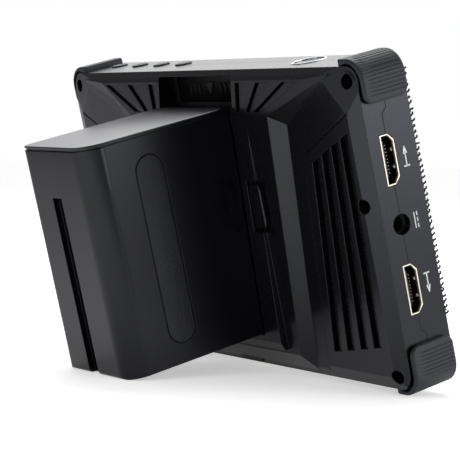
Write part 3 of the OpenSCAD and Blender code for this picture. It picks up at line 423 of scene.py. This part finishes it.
# The release tab is only merged and smoothed: it lies too deep in its channel for a radius to show.
SOFT_EDGES = {
    "battery_case": 0.35, "release_tab": 0, "terminal_block": 0.2, "power_jack_body": 0.2,
    "cover_glass": 0.15, "heat_spreader": 0.15, "battery_plate": 0.15, "video_out_shell": 0.12,
    "video_in_shell": 0.12,
}
for node, radius in SOFT_EDGES.items():
    softened(node, radius)
print("softened:", len(SOFT_EDGES), "nodes")

# %% [markdown]
# ## Surfaces from whole arrays
# The rounded pieces are surfaces over a grid: one function gives the points of every row and column
# at once, upright and in millimetres. The columns close on themselves, like the ring of a tube, and
# the first and last row may each be capped by one many-sided face.

# %% Grid surface helper


def ring_faces(rows, columns, caps, start):
    """Quads between each ring of points and the next, and one cap at each end, counted from start."""
    index = start + np.arange(rows * columns).reshape(rows, columns)
    after = np.roll(index, -1, axis=1)
    quads = np.stack([index[:-1], after[:-1], after[1:], index[1:]], axis=-1).reshape(-1, 4).tolist()
    return quads + ([index[0][::-1].tolist(), index[-1].tolist()] if caps else [])


def joined(name, grids, material, body, slot, node=None, caps=True):
    """One piece from many rows x columns x 3 grids, doubles merged and faces turned outwards."""
    starts = np.cumsum([0] + [grid.shape[0] * grid.shape[1] for grid in grids])
    faces = [face for grid, start in zip(grids, starts)
             for face in ring_faces(*grid.shape[:2], caps, start)]
    points = placed(np.concatenate([grid.reshape(-1, 3) for grid in grids]))
    mesh = bpy.data.meshes.new(name)
    mesh.from_pydata(points.tolist(), [], faces)
    work = bmesh.new()
    work.from_mesh(mesh)
    bmesh.ops.remove_doubles(work, verts=work.verts, dist=1e-6)
    bmesh.ops.recalc_face_normals(work, faces=work.faces)
    work.to_mesh(mesh)
    work.free()
    return finished(mesh, name, material, body, node)


def surface(name, grid, *where, **options):
    """One piece from a single grid."""
    return joined(name, [grid], *where, **options)


print("quads of a 3 x 4 grid:", len(ring_faces(3, 4, False, 0)))

# %% [markdown]
# ## Shapes along an axis
# Most small pieces are one of two kinds. A turned piece is a profile of radius and height that goes
# round a line. A pillow is a stack of rounded rectangles, each a little smaller than the last where
# the edge turns over. Both are worked out with the height as the third number, and then laid along
# the x, y or z axis.

# %% Lathe and pillow
AXES = {"x": (1, 2, 0), "y": (0, 2, 1), "z": (0, 1, 2)}


def along_axis(axis, centre, grid):
    """Lays (u, v, height) points down: height along this axis, u and v along the two others."""
    first, second, run = AXES[axis]
    points = np.empty_like(grid)
    points[..., first] = grid[..., 0] + centre[0]
    points[..., second] = grid[..., 1] + centre[1]
    points[..., run] = grid[..., 2]
    return points


def at_height(loop, height):
    """A flat loop of (u, v) points, all given one height."""
    return np.column_stack([loop, np.full(len(loop), height)])


def lathe(axis, centre, profile, around=48):
    """Point = (radius cos a, radius sin a, height), for each pair of the profile and each angle a."""
    angle = np.linspace(0, 2 * np.pi, around, endpoint=False)
    radius, height = np.asarray(profile, float).T
    grid = np.stack([radius[:, None] * np.cos(angle), radius[:, None] * np.sin(angle),
                     np.repeat(height[:, None], around, axis=1)], axis=-1)
    return along_axis(axis, centre, grid)


def rounded_loop(half_u, half_v, radius, arc=8):
    """A rounded rectangle: a quarter circle at each corner, one after the other."""
    turn = np.linspace(0, np.pi / 2, arc)
    radius = np.clip(radius, 0.02, min(half_u, half_v))
    corners = [(1, 1, 0), (-1, 1, 1), (-1, -1, 2), (1, -1, 3)]
    return np.concatenate([np.stack([
        u * (half_u - radius) + radius * np.cos(turn + quarter * np.pi / 2),
        v * (half_v - radius) + radius * np.sin(turn + quarter * np.pi / 2)], axis=1)
        for u, v, quarter in corners])


def pillow(axis, centre, levels):
    """One rounded outline for each (half u, half v, corner radius, height), stacked along an axis."""
    rings = [at_height(rounded_loop(u, v, radius), height) for u, v, radius, height in levels]
    return along_axis(axis, centre, np.stack(rings))


def soft_top(half_u, half_v, radius, low, top, edge, steps=6):
    """Levels of a pillow whose side goes straight up and turns over the edge on a quarter circle."""
    turn = np.linspace(0, np.pi / 2, steps)
    way = np.sign(top - low)
    inset, height = edge * (1 - np.cos(turn)), top - way * edge * (1 - np.sin(turn))
    return [(half_u, half_v, radius, low)] + [
        (half_u - a, half_v - a, radius - a, z) for a, z in zip(inset, height)]


print("points round a pillow:", len(rounded_loop(2.0, 1.0, 0.5)))

# %% [markdown]
# ## Corner bumpers
# Each bumper is a moulded rubber shell that wraps one corner. It is one surface: a closed profile
# of depth and height over the wall travels along the edge and round the corner. The ends and both
# long edges are rounded in plan, the top edges have a soft radius, and fine grooves cross the shell
# except for a smooth band along its rear edge and its ends. A narrow gap is left to the housing at
# the rear.

# %% Four bumpers
BUMPER_T, BUMPER_R = 2.0, 7.0    # thickness over the wall, and outer radius round the corner
BUMPER_FRONT, BUMPER_REAR, BUMPER_GAP = 0.5, SIDE_D - 0.5, 1.5
LEG, BUMPER_REACH = {"top": 13.6, "bottom": 15.2}, 10.4    # along the side wall, and round the corner
PITCH, GROOVE = 1.15, 0.2        # the grooves' spacing and depth
PLAN_R, EDGE_R = 3.0, 0.8        # radius of the leg's end in plan, and of all top edges


def drawn_in(away, radius):
    """How far a rounded end draws the outline in: radius - the circle's height at that distance."""
    return radius - np.sqrt(np.clip(radius ** 2 - np.clip(radius - away, 0, None) ** 2, 0, None))


def bumper_grid(leg):
    """Height over the wall = thickness - a rounding near each edge - a cosine groove across."""
    up, bend = leg - BUMPER_R, np.pi / 2 * BUMPER_R
    total = up + bend + BUMPER_REACH - BUMPER_R
    ends = np.concatenate([[0, 0.05, 0.15, 0.3, 0.5, 0.8, 1.2], np.arange(1.5, total / 2, PITCH / 8)])
    along = np.concatenate([ends, total - ends[::-1]])[:, None]
    away = np.minimum(along, total - along)
    # The outline in plan, and the depths of the points between its front and its rear edge.
    plan = np.maximum(drawn_in(along, PLAN_R), drawn_in(total - along, EDGE_R))
    front, rear = BUMPER_FRONT + plan, BUMPER_REAR - plan
    steps = EDGE_R * np.array([0, 0.02, 0.06, 0.12, 0.22, 0.35, 0.55, 0.8, 1.2, 1.5])
    share = np.linspace(0, 1, 9)[1:-1]
    middle = front + steps[-1] + share * (rear - front - 2 * steps[-1])
    depth = np.concatenate([front + steps, middle, rear - steps[::-1]], axis=1)
    # The height: rounded at every edge, grooved inside a smooth band.
    edge = np.minimum(np.minimum(depth - front, rear - depth), away)
    band = np.clip(np.minimum((rear - depth - 1.3) / 0.5, (away - 1.5) / 0.5), 0, 1)
    band = band * np.clip((depth - front - 0.4) / 0.5, 0, 1)
    wave = np.clip(1.6 * np.cos(2 * np.pi * along / PITCH) - 0.5, 0, 1)
    height = BUMPER_T - drawn_in(edge, EDGE_R) - GROOVE * band * wave
    # The way back: down to the lip over the gap, in under it, and along the wall to the front.
    lip, wall = 0.02 + 0.83 * np.clip((total - along - 1.0) / 3.0, 0, 1), np.zeros_like(along)
    depth = np.concatenate([depth, rear, rear - BUMPER_GAP, rear - BUMPER_GAP, front], axis=1)
    height = np.concatenate([height, lip, lip, wall, wall], axis=1)
    # The path: up the leg, round the corner, along the top.
    angle = np.clip((along - up) / BUMPER_R, 0, np.pi / 2)
    before, beyond = np.clip(along - up, None, 0), np.clip(along - up - bend, 0, None)
    reach, inwards = BUMPER_R - BUMPER_T + height, BUMPER_T - BUMPER_R
    return np.stack([HALF_W + inwards + reach * np.cos(angle) - beyond, depth,
                     BODY_H + inwards + reach * np.sin(angle) + before], axis=-1)


for corner in ("top_right", "top_left", "bottom_right", "bottom_left"):
    end, side = corner.split("_")
    grid = bumper_grid(LEG[end])
    if end == "bottom":
        grid[..., 2] = BODY_H - grid[..., 2]
    if side == "left":
        grid[..., 0] *= -1
    node = "bumper_" + corner
    surface(node + "_ribbed", grid, bumper_rubber, "monitor", "bumper_rubber", node)
print("bumper points:", grid.shape)

# %% [markdown]
# ## Lid over the battery
# One flat lid closes the case and the outer cover, with a different radius at each outer corner. It
# is welded on after the cells are in, and a shallow groove under its rim hides the weld. The groove
# shows as a dark line between two thin bright ones, so the lid is built from rings, each drawn in a
# little.

# %% Battery lid
NEAR_R, FAR_R, LID_BACK = 7.0, 3.0, 21.0
LID_CORNERS = [(BATT_HW, BATT_OUT, FAR_R), (-BATT_HW, BATT_OUT, NEAR_R),
               (-BATT_HW, LID_BACK, 4.0), (BATT_HW, LID_BACK, 4.0)]


def lid_loop(inset):
    """The lid's outline: a quarter circle of its own radius at each corner, less the inset."""
    turn = np.linspace(0, np.pi / 2, 9)
    parts = []
    for quarter, (x, y, radius) in enumerate(LID_CORNERS):
        angle = turn + quarter * np.pi / 2
        middle = np.array([x - np.sign(x) * radius, y + (radius if y == LID_BACK else -radius)])
        parts.append(middle + (radius - inset) * np.stack([np.cos(angle), np.sin(angle)], axis=1))
    return np.concatenate(parts)


# (Drawn in, under the top), from below: the groove's floor, its edge, the rim, and a quarter circle
# of 0.4 mm over the rim.
turn = np.linspace(0, np.pi / 2, 6)
lid_levels = [(0.45, -1.2), (0.45, -0.68), (0.1, -0.6), (0.02, -0.5)]
lid_levels += [(0.4 * (1 - np.cos(t)), -0.4 * (1 - np.sin(t))) for t in turn]
lid = np.stack([at_height(lid_loop(inset), BATT_TOP + under) for inset, under in lid_levels])
surface("battery_lid", lid, abs_lid, BODY["battery_end_cap"], "battery_plastic", "battery_end_cap")
print("lid rings:", len(lid_levels))

# %% [markdown]
# ## Outer cover of the battery
# The cover is one moulding with a wide radius on one upright edge, a small one on the other and an
# open slot down its face. Every ring of the surface has the same points: the slot's four points lie
# in the outer face above the slot's end and step back below it, and the foot is rounded by capping
# the depth.

# %% Battery cover
SLOT_FAR, SLOT_NEAR, SLOT_DEEP, SLOT_END = 5.6, 0.0, 2.0, 69.4


def cover_ring(height, slot, inset=0.0):
    """Far quarter circle, slot, near quarter circle, back; depth capped by the foot's circle."""
    turn = np.linspace(0, np.pi / 2, 19)
    far = FAR_R * np.stack([np.cos(turn), np.sin(turn)], axis=1) + [BATT_HW - FAR_R, BATT_OUT - FAR_R]
    near = NEAR_R * np.stack([-np.sin(turn), np.cos(turn)], axis=1)
    near = near + [NEAR_R - BATT_HW, BATT_OUT - NEAR_R]
    # Two points beside each edge of the slot and each arc keep the flat face evenly shaded.
    face = [(15.8, BATT_OUT), (SLOT_FAR + 0.4, BATT_OUT), (SLOT_FAR, BATT_OUT),
            (SLOT_FAR, BATT_OUT - slot), (SLOT_NEAR, BATT_OUT - slot), (SLOT_NEAR, BATT_OUT),
            (SLOT_NEAR - 0.4, BATT_OUT), (-11.8, BATT_OUT)]
    # The back has a fine chamfer on both sides, which closes the seam to the case.
    flat, back = BATT_SEAM - 0.27, BATT_SEAM - 0.15
    seam = [(-BATT_HW, back), (0.12 - BATT_HW, flat), (BATT_HW - 0.12, flat), (BATT_HW, back),
            (BATT_HW, BATT_OUT - FAR_R - 0.4)]
    loop = np.concatenate([far, face, near, seam])
    limit = BATT_OUT - drawn_in(height - BATT_LOW, FOOT_R) - inset
    loop[:, 1] = np.minimum(loop[:, 1], limit)
    loop[:, 0] = np.clip(loop[:, 0], inset - BATT_HW, BATT_HW - inset)
    return at_height(loop, height)


COVER_TOP, HALF_WAY = BATT_TOP - 1.3, 40.0
foot_rings = BATT_LOW + FOOT_R * (1 - np.cos(np.linspace(0, np.pi / 2, 7)))
rings = [cover_ring(z, SLOT_DEEP) for z in (*foot_rings, HALF_WAY, SLOT_END)]
rings.append(cover_ring(SLOT_END + 0.02, 0.0))
rings += [cover_ring(COVER_TOP - under, 0.0, inset)
          for under, inset in ((0.3, 0), (0.09, 0.09), (0, 0.3))]
surface("battery_cover_moulding", np.stack(rings), abs_battery, BODY["battery_cover"],
        "battery_plastic", "battery_cover")
print("cover rings:", len(rings))

# %% [markdown]
# ## Hook tape
# The tape is a woven band with nylon hooks: short stems that lean over and curl at the tip, in rows
# under a millimetre apart. One stem is a tube swept along a curled path. All of the others are
# copies with a small seeded turn and lean each, so that they stand as unevenly as real ones, and
# every other row is lower and shifted, so that the rows don't hide one another. All copies are one
# array.

# %% One hooked stem
TAPE_W, TAPE_L, TAPE_TOP, TAPE_T = 7.6, 75.9, BODY_H - 2.6, 1.0
TAPE_IN, TAPE_LOW = HALF_W - 1.2 - TAPE_W, TAPE_TOP - TAPE_L
HOOK_H, CURL_R = 1.3, 0.34


def tube(path, radius, around=6):
    """Rings across a path: each lies in the plane square to the path's direction at its point."""
    along = np.gradient(path, axis=0)
    along /= np.linalg.norm(along, axis=1, keepdims=True)
    side = np.cross(along, [1.0, 0.0, 0.0])
    side /= np.linalg.norm(side, axis=1, keepdims=True)
    other = np.cross(along, side)
    angle = np.linspace(0, 2 * np.pi, around, endpoint=False)[:, None]
    ring = side[:, None] * np.cos(angle) + other[:, None] * np.sin(angle)
    return path[:, None] + np.array(radius)[:, None, None] * ring


turn = np.linspace(np.pi, 0.1 * np.pi, 6)
curl_y = CURL_R * (1 - np.sin(turn)) - HOOK_H + 0.28
curl = np.stack([np.zeros(6), curl_y, CURL_R * (1 + np.cos(turn))], axis=1)
path = np.concatenate([[[0, 0.1, -0.18], [0, -0.3, -0.1]], curl])
stem = tube(path, [0.4, 0.34, 0.3, 0.28, 0.28, 0.28, 0.26, 0.16])
print("points on a stem:", stem.shape)

# %% Hook tapes
HOOK_ROWS, HOOKS_ACROSS, ROW_STEP, HOOK_STEP = 88, 5, 0.85, 1.7
FIRST_X, FIRST_Z = TAPE_IN + 0.5, TAPE_LOW + 0.7


def hook_tape(side):
    """Stem point = turned about its root, made as tall as its row, leaned, moved to its place."""
    count = HOOK_ROWS * HOOKS_ACROSS
    # One turn in radians and one lean for each hook, drawn in pairs from normal curves.
    draws = np.random.default_rng(7).normal(0, (0.6, 0.15), (count, 2))[:, :, None]
    angle, lean = draws[:, 0], np.clip(draws[:, 1], -0.25, 0.25)
    row, across = np.divmod(np.arange(count), HOOKS_ACROSS)
    odd = row % 2
    # Every other row stands 0.7 mm inwards, all but its first hook, and is a third lower.
    at_x = FIRST_X + HOOK_STEP * across - 0.7 * odd * (across > 0)
    at_z, tall = FIRST_Z + ROW_STEP * row, 1 - 0.35 * odd
    x, y, z = stem.reshape(-1, 3).T
    points = np.stack([
        x * np.cos(angle) - z * np.sin(angle) + at_x[:, None], y * tall[:, None] - TAPE_T,
        x * np.sin(angle) + z * np.cos(angle) - lean * y + at_z[:, None]], axis=-1)
    hooks = (points * [side, 1, 1]).reshape(-1, *stem.shape)
    name = "hook_tape_" + ("right" if side > 0 else "left") + "_hooks"
    joined(name, list(hooks), nylon_hooks, "monitor", "hook_fabric")


def tape_band(side):
    """The woven band: a flat loop of points with rounded edges, drawn along its length in steps."""
    section = np.array([
        [0, 0], [0, -0.75], [0.1, -0.93], [0.3, -1.0], [TAPE_W / 2, -1.0], [TAPE_W - 0.3, -1.0],
        [TAPE_W - 0.1, -0.93], [TAPE_W, -0.75], [TAPE_W, 0]])
    along = np.linspace(TAPE_LOW, TAPE_TOP, 160)[:, None]
    ripple = 0.03 * np.abs(np.sin(2 * np.pi * along / 1.9)) * (section[:, 1] < -0.9)
    depth = section[:, 1] + ripple
    grid = np.stack([
        np.broadcast_to((TAPE_IN + section[:, 0]) * side, depth.shape), depth,
        np.broadcast_to(along, depth.shape)], axis=-1)
    name = "hook_tape_" + ("right" if side > 0 else "left")
    surface(name + "_band", grid, nylon_hooks, "monitor", "hook_fabric", name)


for side in (1, -1):
    tape_band(side)
    hook_tape(side)
print("hooks on each tape:", HOOK_ROWS * HOOKS_ACROSS)

# %% [markdown]
# ## Inlays on the battery
# A coarse-grained inlay lies in a shallow recess on each side of the battery. Its edge is rounded
# and stands a little clear of the recess, so a dark line with a bright one beside it runs all
# round.

# %% Two inlays
INLAY_AT, INLAY_HALF_W, INLAY_HALF_H = (52.3, 48.9), 4.8, 29.3
for side, node in ((-1, "battery_grip_left"), (1, "battery_grip_right")):
    inlay = soft_top(INLAY_HALF_W, INLAY_HALF_H, INLAY_HALF_W, side * 18.76, side * 19.3, 0.28)
    surface(node + "_inlay", pillow("x", INLAY_AT, inlay), abs_grip, BODY[node], "grip_plastic", node)
print("inlay levels:", len(inlay))

# %% [markdown]
# ## Knob, buttons and power ring
# The knob of the slider is a small moulded pillow with a generous edge radius, on a stem through
# the cover. The buttons are turned shapes: a flange keeps them in, and the top has a soft edge and
# a shallow dish. The power button sits in a polished metal ring with a rounded lip. Each turned
# profile below is a list of (radius, height), which goes up the outside and over the top.

# %% Knob, buttons and ring
knob = [(1.0, 3.0, 0.4, 18.0), (1.0, 3.0, 0.4, 20.4)] + soft_top(2.9, 7.0, 1.9, 20.4, 21.9, 0.5)
surface("lock_knob", pillow("y", (-26.2, 54.4), knob), abs_front, BODY["lock_slider"],
        "slider_plastic", "lock_slider")

MENU_FIRST, MENU_STEP = (HALF_W - 56.7, 6.4), 13.7
STALK = [(1.1, 92.5), (1.1, 93.2)]
menu_profile = STALK + [
    (3.3, 93.2), (3.3, 94.1), (2.8, 94.2), (2.8, 96.5), (2.76, 96.64), (2.64, 96.75), (2.45, 96.8),
    (2.1, 96.78), (1.4, 96.72), (0.6, 96.69)]
for number in range(4):
    node = "menu_button_%d" % (number + 1)
    centre = (MENU_FIRST[0] + MENU_STEP * number, MENU_FIRST[1])
    surface(node + "_turned", lathe("z", centre, menu_profile), button_abs, BODY[node],
            "button_grey", node)

POWER_AT = (33.9 - HALF_W, 7.3)
power_profile = STALK + [
    (5.45, 93.2), (5.45, 94.1), (4.65, 94.2), (4.65, 96.0), (4.62, 96.12), (4.53, 96.18), (4.4, 96.2),
    (3.2, 96.18), (1.6, 96.17), (0.5, 96.17)]
surface("power_button_turned", lathe("z", POWER_AT, power_profile, 72), power_abs,
        BODY["power_button"], "power_black", "power_button")
ring_profile = [
    (4.8, 94.3), (4.8, 96.3), (4.82, 96.44), (4.92, 96.56), (5.05, 96.6), (5.3, 96.6), (5.38, 96.57),
    (5.6, 96.36), (5.68, 96.2), (5.7, 96.0), (5.7, 94.3), (4.8, 94.3)]
surface("power_ring_polished", lathe("z", POWER_AT, ring_profile, 96), bright_chrome,
        BODY["power_ring"], "ring_chrome", "power_ring", caps=False)
print("points in the profiles:", len(menu_profile), len(power_profile), len(ring_profile))

# %% [markdown]
# ## Inside the video sockets
# Each video socket has a plastic tongue with gold contacts on both faces, ten on the rear face and
# nine on the front face, where they lie in the gaps between the ten. Two sprung dimples are pressed
# into the front side of its steel shell, where they grip the plug.

# %% Tongues, contacts and dimples
SOCKET_Y, CONTACT_X, DIMPLE_X = 10.2, -76.4, -79.2
REAR_FACE, FRONT_FACE = (11.0, 1), (10.1, -1)    # the tongue's faces: y, and which way they look


def contact(socket_z, over, face):
    """A gold strip, over mm above the socket's middle, that stands 0.2 mm proud of the tongue."""
    low, way = face
    return pillow("y", (CONTACT_X, socket_z + over), [
        (2.9, 0.16, 0.1, low), (2.9, 0.16, 0.1, low + 0.16 * way), (2.8, 0.1, 0.1, low + 0.2 * way)])


for name, socket_z in {"video_out": MID_Z + 19.55, "video_in": MID_Z - 18.85}.items():
    blade = [(1.7, 5.0, 0.2, -69.3), (1.7, 5.0, 0.2, -72.6), (0.55, 5.4, 0.2, -72.8)]
    blade += soft_top(0.5, 5.4, 0.3, -72.9, -78.9, 0.3, 5)
    surface(name + "_blade", pillow("x", (SOCKET_Y + 0.35, socket_z), blade), carrier_lcp, "monitor",
            "tongue_blue", name + "_tongue")
    contacts = [contact(socket_z, step - 4.5, REAR_FACE) for step in range(10)]
    contacts += [contact(socket_z, step - 4.0, FRONT_FACE) for step in range(9)]
    joined(name + "_contacts", contacts, gold_plate, "monitor", "contact_brass")
    dome = [(0.75, 8.1), (0.72, 8.3), (0.62, 8.47), (0.45, 8.58), (0.25, 8.63), (0.08, 8.64)]
    dimples = [lathe("y", (DIMPLE_X, socket_z + side * 2.55), dome, 20) for side in (1, -1)]
    joined(name + "_dimples", dimples, sheet_steel, "monitor", "socket_steel")
print("contacts in each socket:", len(contacts))

# %% [markdown]
# ## Inside the power socket
# The power socket has a lining sleeve and a bright centre pin. The pin's tip is half a sphere, so
# that the plug finds its way over it.

# %% Sleeve and pin
JACK_AT, TIP_R = (SOCKET_Y, MID_Z + 0.35), 0.62
sleeve = [(2.88, -78.2), (2.8, -78.35), (2.6, -78.4), (2.45, -78.3), (2.4, -78.1), (2.4, -69.0),
          (2.88, -69.0), (2.88, -78.2)]
surface("power_jack_sleeve", lathe("x", JACK_AT, sleeve), abs_inner, "monitor", "jack_black",
        caps=False)
pin = [(0.75, -67.3), (0.75, -74.6), (TIP_R, -75.4)]
pin += [(TIP_R * np.cos(t) + 0.001, -75.55 - TIP_R * np.sin(t))
        for t in np.linspace(0, np.pi / 2, 7)[1:]]
surface("power_jack_pin_turned", lathe("x", JACK_AT, pin, 32), bright_chrome, "monitor",
        "jack_pin_chrome", "power_jack_pin")
print("points on the pin:", len(pin))

# %% [markdown]
# ## Generic marks
# Where the photographed monitor has words, this one has plain signs. White printed arrows beside
# the video sockets show which way the picture goes, and the power socket has the common sign for
# direct current. The release tab has raised grip bars around a triangle, and a small raised
# triangle beside the knob shows which way it slides.

# %% Outlines pushed into plates
TRIANGLE = np.array([(-1.0, -1.1), (1.0, -1.1), (0.12, 0.9), (-0.12, 0.9)])


def sign(axis, centre, outline, low, top, soft=0.0):
    """An outline pushed along an axis from low to top, its last ring drawn in towards its middle."""
    middle = outline.mean(axis=0)
    inner = middle + (outline - middle) * (1 - soft)
    shoulder = low + (top - low) * (0.6 if soft else 0.9)
    rings = [at_height(outline, low), at_height(outline, shoulder), at_height(inner, top)]
    return along_axis(axis, centre, np.stack(rings))


def bar(half_u, low_v, top_v):
    """The outline of a bar: a rectangle about the v axis, its corners hardly rounded."""
    return rounded_loop(half_u, (top_v - low_v) / 2, 0.08, 4) + [0, (low_v + top_v) / 2]


def printed(y, z, outline):
    """A sign in ink on the side wall, 0.03 mm thick, with its root a little inside the wall."""
    return sign("x", (y, z), outline, WALL_X + 0.05, WALL_X - 0.03)


print("corners of the triangle:", len(TRIANGLE))

# %% Printed and raised signs
ARROW_Y, ARROW_BASE = 4.55, 3.2
prints = []
for arrow_z, turn in ((67.7, 1), (29.3, -1)):
    prints.append(printed(ARROW_Y, arrow_z + turn * 1.6, TRIANGLE * [0.8, 1.1 * turn]))
    prints.append(printed(ARROW_Y, arrow_z, bar(0.18, -ARROW_BASE, 1.0) * [1, turn]))
    prints.append(printed(ARROW_Y, arrow_z - turn * ARROW_BASE, bar(1.1, -0.2, 0.2)))
prints.append(printed(5.2, JACK_AT[1], bar(0.16, -2.4, 2.4)))
prints += [printed(4.2, JACK_AT[1] + step, bar(0.16, -0.6, 0.6)) for step in (-1.8, 0, 1.8)]
joined("socket_signs", prints, white_print, "monitor", "diffuser_white")

TAB_Z, TAB_FACE, TAB_TOP = 89.6, 13.2, 13.55
bars = [sign("y", (side * step, TAB_Z), bar(0.45, -2.0, 2.0), TAB_FACE, TAB_TOP, 0.12)
        for side in (-1, 1) for step in (6.0, 8.6, 11.2)]
bars.append(sign("y", (0, TAB_Z), TRIANGLE * [2.6, -2.0], TAB_FACE, TAB_TOP, 0.08))
knob_sign = sign("y", (-30.2, 64.6), TRIANGLE[:, ::-1] * [-1.5, 1.3], 21.0, 21.35, 0.1)
surface("knob_sign", knob_sign, abs_cover, "monitor", "cover_plastic")
joined("release_tab_signs", bars, abs_tab, BODY["release_tab"], "tab_plastic")
print("signs:", len(prints) + len(bars))

# %% [markdown]
# ## White paper
# The photograph stands on white paper that runs up behind the object without an edge. The floor is
# a large pale sheet. Where the camera looks, its shaded colour is added to a white emission, so
# that the paper reads white and the soft shadow under the object stays. The leaning back of a black
# object mirrors the paper, and a real studio's paper isn't equally bright everywhere. So in mirrors
# alone it glows in a strip beneath and behind the object, and is greyer far off to both sides.

# %% Floor
STRIP_X, STRIP_GLOW, PAPER_GLOW = -0.1, 0.65, 0.48
floor_mesh = bpy.data.meshes.new("floor")
floor_mesh.from_pydata([(-4, -4, 0), (4, -4, 0), (4, 4, 0), (-4, 4, 0)], [], [(0, 1, 2, 3)])
floor = bpy.data.objects.new("floor", floor_mesh)
bpy.context.scene.collection.objects.link(floor)
paper, paper_tree, paper_shader = new_material("white_paper", {
    "Roughness": 0.9, "IOR": 1.2, "Emission Color": (1, 1, 1, 1)})
looked_at = add(paper_tree, "ShaderNodeLightPath").outputs
paper_place = add(paper_tree, "ShaderNodeTexCoord").outputs["Object"]
on_paper = add(paper_tree, "ShaderNodeSeparateXYZ", {"Vector": paper_place}).outputs
# How far a point of the paper is from the strip's middle line, sideways and in metres.
sideways = add(paper_tree, "ShaderNodeMath", {0: on_paper["X"], 1: -STRIP_X}, operation="ADD")
away = add(paper_tree, "ShaderNodeMath", {0: sideways.outputs["Value"]}, operation="ABSOLUTE")
away = away.outputs["Value"]
far_off = add(paper_tree, "ShaderNodeMapRange", {"Value": away, "From Min": 0.1, "From Max": 0.3})
near_by = add(paper_tree, "ShaderNodeMapRange", {
    "Value": away, "From Min": 0.25, "From Max": 0.05, "To Min": 0.0, "To Max": STRIP_GLOW})
behind = add(paper_tree, "ShaderNodeMapRange", {
    "Value": on_paper["Y"], "From Min": -0.16, "From Max": 0.2})
# Painted reflection: in mirrors only, the paper is painted grey far off to both sides and glows in a
# strip near and behind the object.
greyer = add(paper_tree, "ShaderNodeMath", {
    0: looked_at["Is Glossy Ray"], 1: far_off.outputs["Result"]}, operation="MULTIPLY")
strip = add(paper_tree, "ShaderNodeMath", {
    0: near_by.outputs["Result"], 1: behind.outputs["Result"]}, operation="MULTIPLY")
mirrored_glow = add(paper_tree, "ShaderNodeMath", {
    0: looked_at["Is Glossy Ray"], 1: strip.outputs["Value"]}, operation="MULTIPLY")
glow = add(paper_tree, "ShaderNodeMath", {
    0: looked_at["Is Camera Ray"], 1: PAPER_GLOW, 2: mirrored_glow.outputs["Value"]},
    operation="MULTIPLY_ADD")
shade = add(paper_tree, "ShaderNodeValToRGB", {"Fac": greyer.outputs["Value"]}, stops=[
    (0, linear("#f4f4f4")), (1, linear("#d2d2d2"))])
plug(paper_tree, paper_shader, {
    "Base Color": shade.outputs["Color"], "Emission Strength": glow.outputs["Value"]})
floor_mesh.materials.append(paper)
print("paper:", [round(length, 2) for length in floor.dimensions], "m")

# %% [markdown]
# ## The room
# The world is a plain white room. It is pure white where the camera or glass sees it, and dimmer
# where it lights the object, so that colours render as they are written. What the plastic mirrors
# of it runs from bright on the screen's side to dim on the battery's side, which keeps black faces
# black.

# %% World
ROOM_LIGHT, BRIGHT_SIDE, DIM_SIDE = 0.56, 0.7, 0.18
world = bpy.data.worlds.new("studio")
bpy.context.scene.world = world
world.use_nodes = True
sky = world.node_tree
seen = add(sky, "ShaderNodeLightPath").outputs
seen_plain = add(sky, "ShaderNodeMath", {
    0: seen["Is Camera Ray"], 1: seen["Is Transmission Ray"]}, operation="MAXIMUM")
heading = add(sky, "ShaderNodeTexCoord").outputs["Generated"]
back_or_front = add(sky, "ShaderNodeSeparateXYZ", {"Vector": heading}).outputs["Y"]
room = add(sky, "ShaderNodeMapRange", {
    "Value": back_or_front, "From Min": -0.45, "From Max": 0.05,
    "To Min": BRIGHT_SIDE, "To Max": DIM_SIDE})
mirrored = add(sky, "ShaderNodeMix", {
    "Factor": seen["Is Glossy Ray"], "A": ROOM_LIGHT, "B": room.outputs["Result"]})
strength = add(sky, "ShaderNodeMix", {
    "Factor": seen_plain.outputs["Value"], "A": mirrored.outputs["Result"], "B": 1.0})
plug(sky, sky.nodes["Background"], {"Color": (1, 1, 1, 1), "Strength": strength.outputs["Result"]})
print("world nodes:", len(sky.nodes))

# %% [markdown]
# ## Lamps
# Four softboxes give the black faces their highlights: a wide one overhead for the lid and the top
# wall, one on the far side for the slopes that turn away, one for the side wall with the sockets,
# and a weak one behind the battery that draws its edges.

# %% Softboxes


def soft_box(name, at, aim, size, watts):
    """An area lamp at one point of the table frame, aimed at another, of that width and height."""
    data = bpy.data.lights.new(name, "AREA")
    data.shape, data.energy = "RECTANGLE", watts
    data.size, data.size_y = size
    lamp = bpy.data.objects.new(name, data)
    start, end = Vector(at), Vector(aim)
    turned = (end - start).to_track_quat("-Z", "Y").to_matrix().to_4x4()
    lamp.matrix_world = Matrix.Translation(start) @ turned
    bpy.context.scene.collection.objects.link(lamp)


soft_box("overhead_softbox", (0.5, -0.38, 0.95), (0, 0, 0.05), (1.0, 1.0), 8)
soft_box("far_softbox", (1.0, -0.56, 0.62), (0, 0, 0.08), (1.0, 0.7), 1.6)
soft_box("side_softbox", (-0.95, -0.65, 0.3), (0, 0, 0.08), (0.8, 0.5), 3.4)
soft_box("rear_softbox", (-0.2, 1.3, 0.55), (0, 0, 0.08), (0.8, 0.6), 1.2)
bpy.context.scene.view_settings.view_transform = "Standard"
print("lamps:", len(bpy.data.lights))
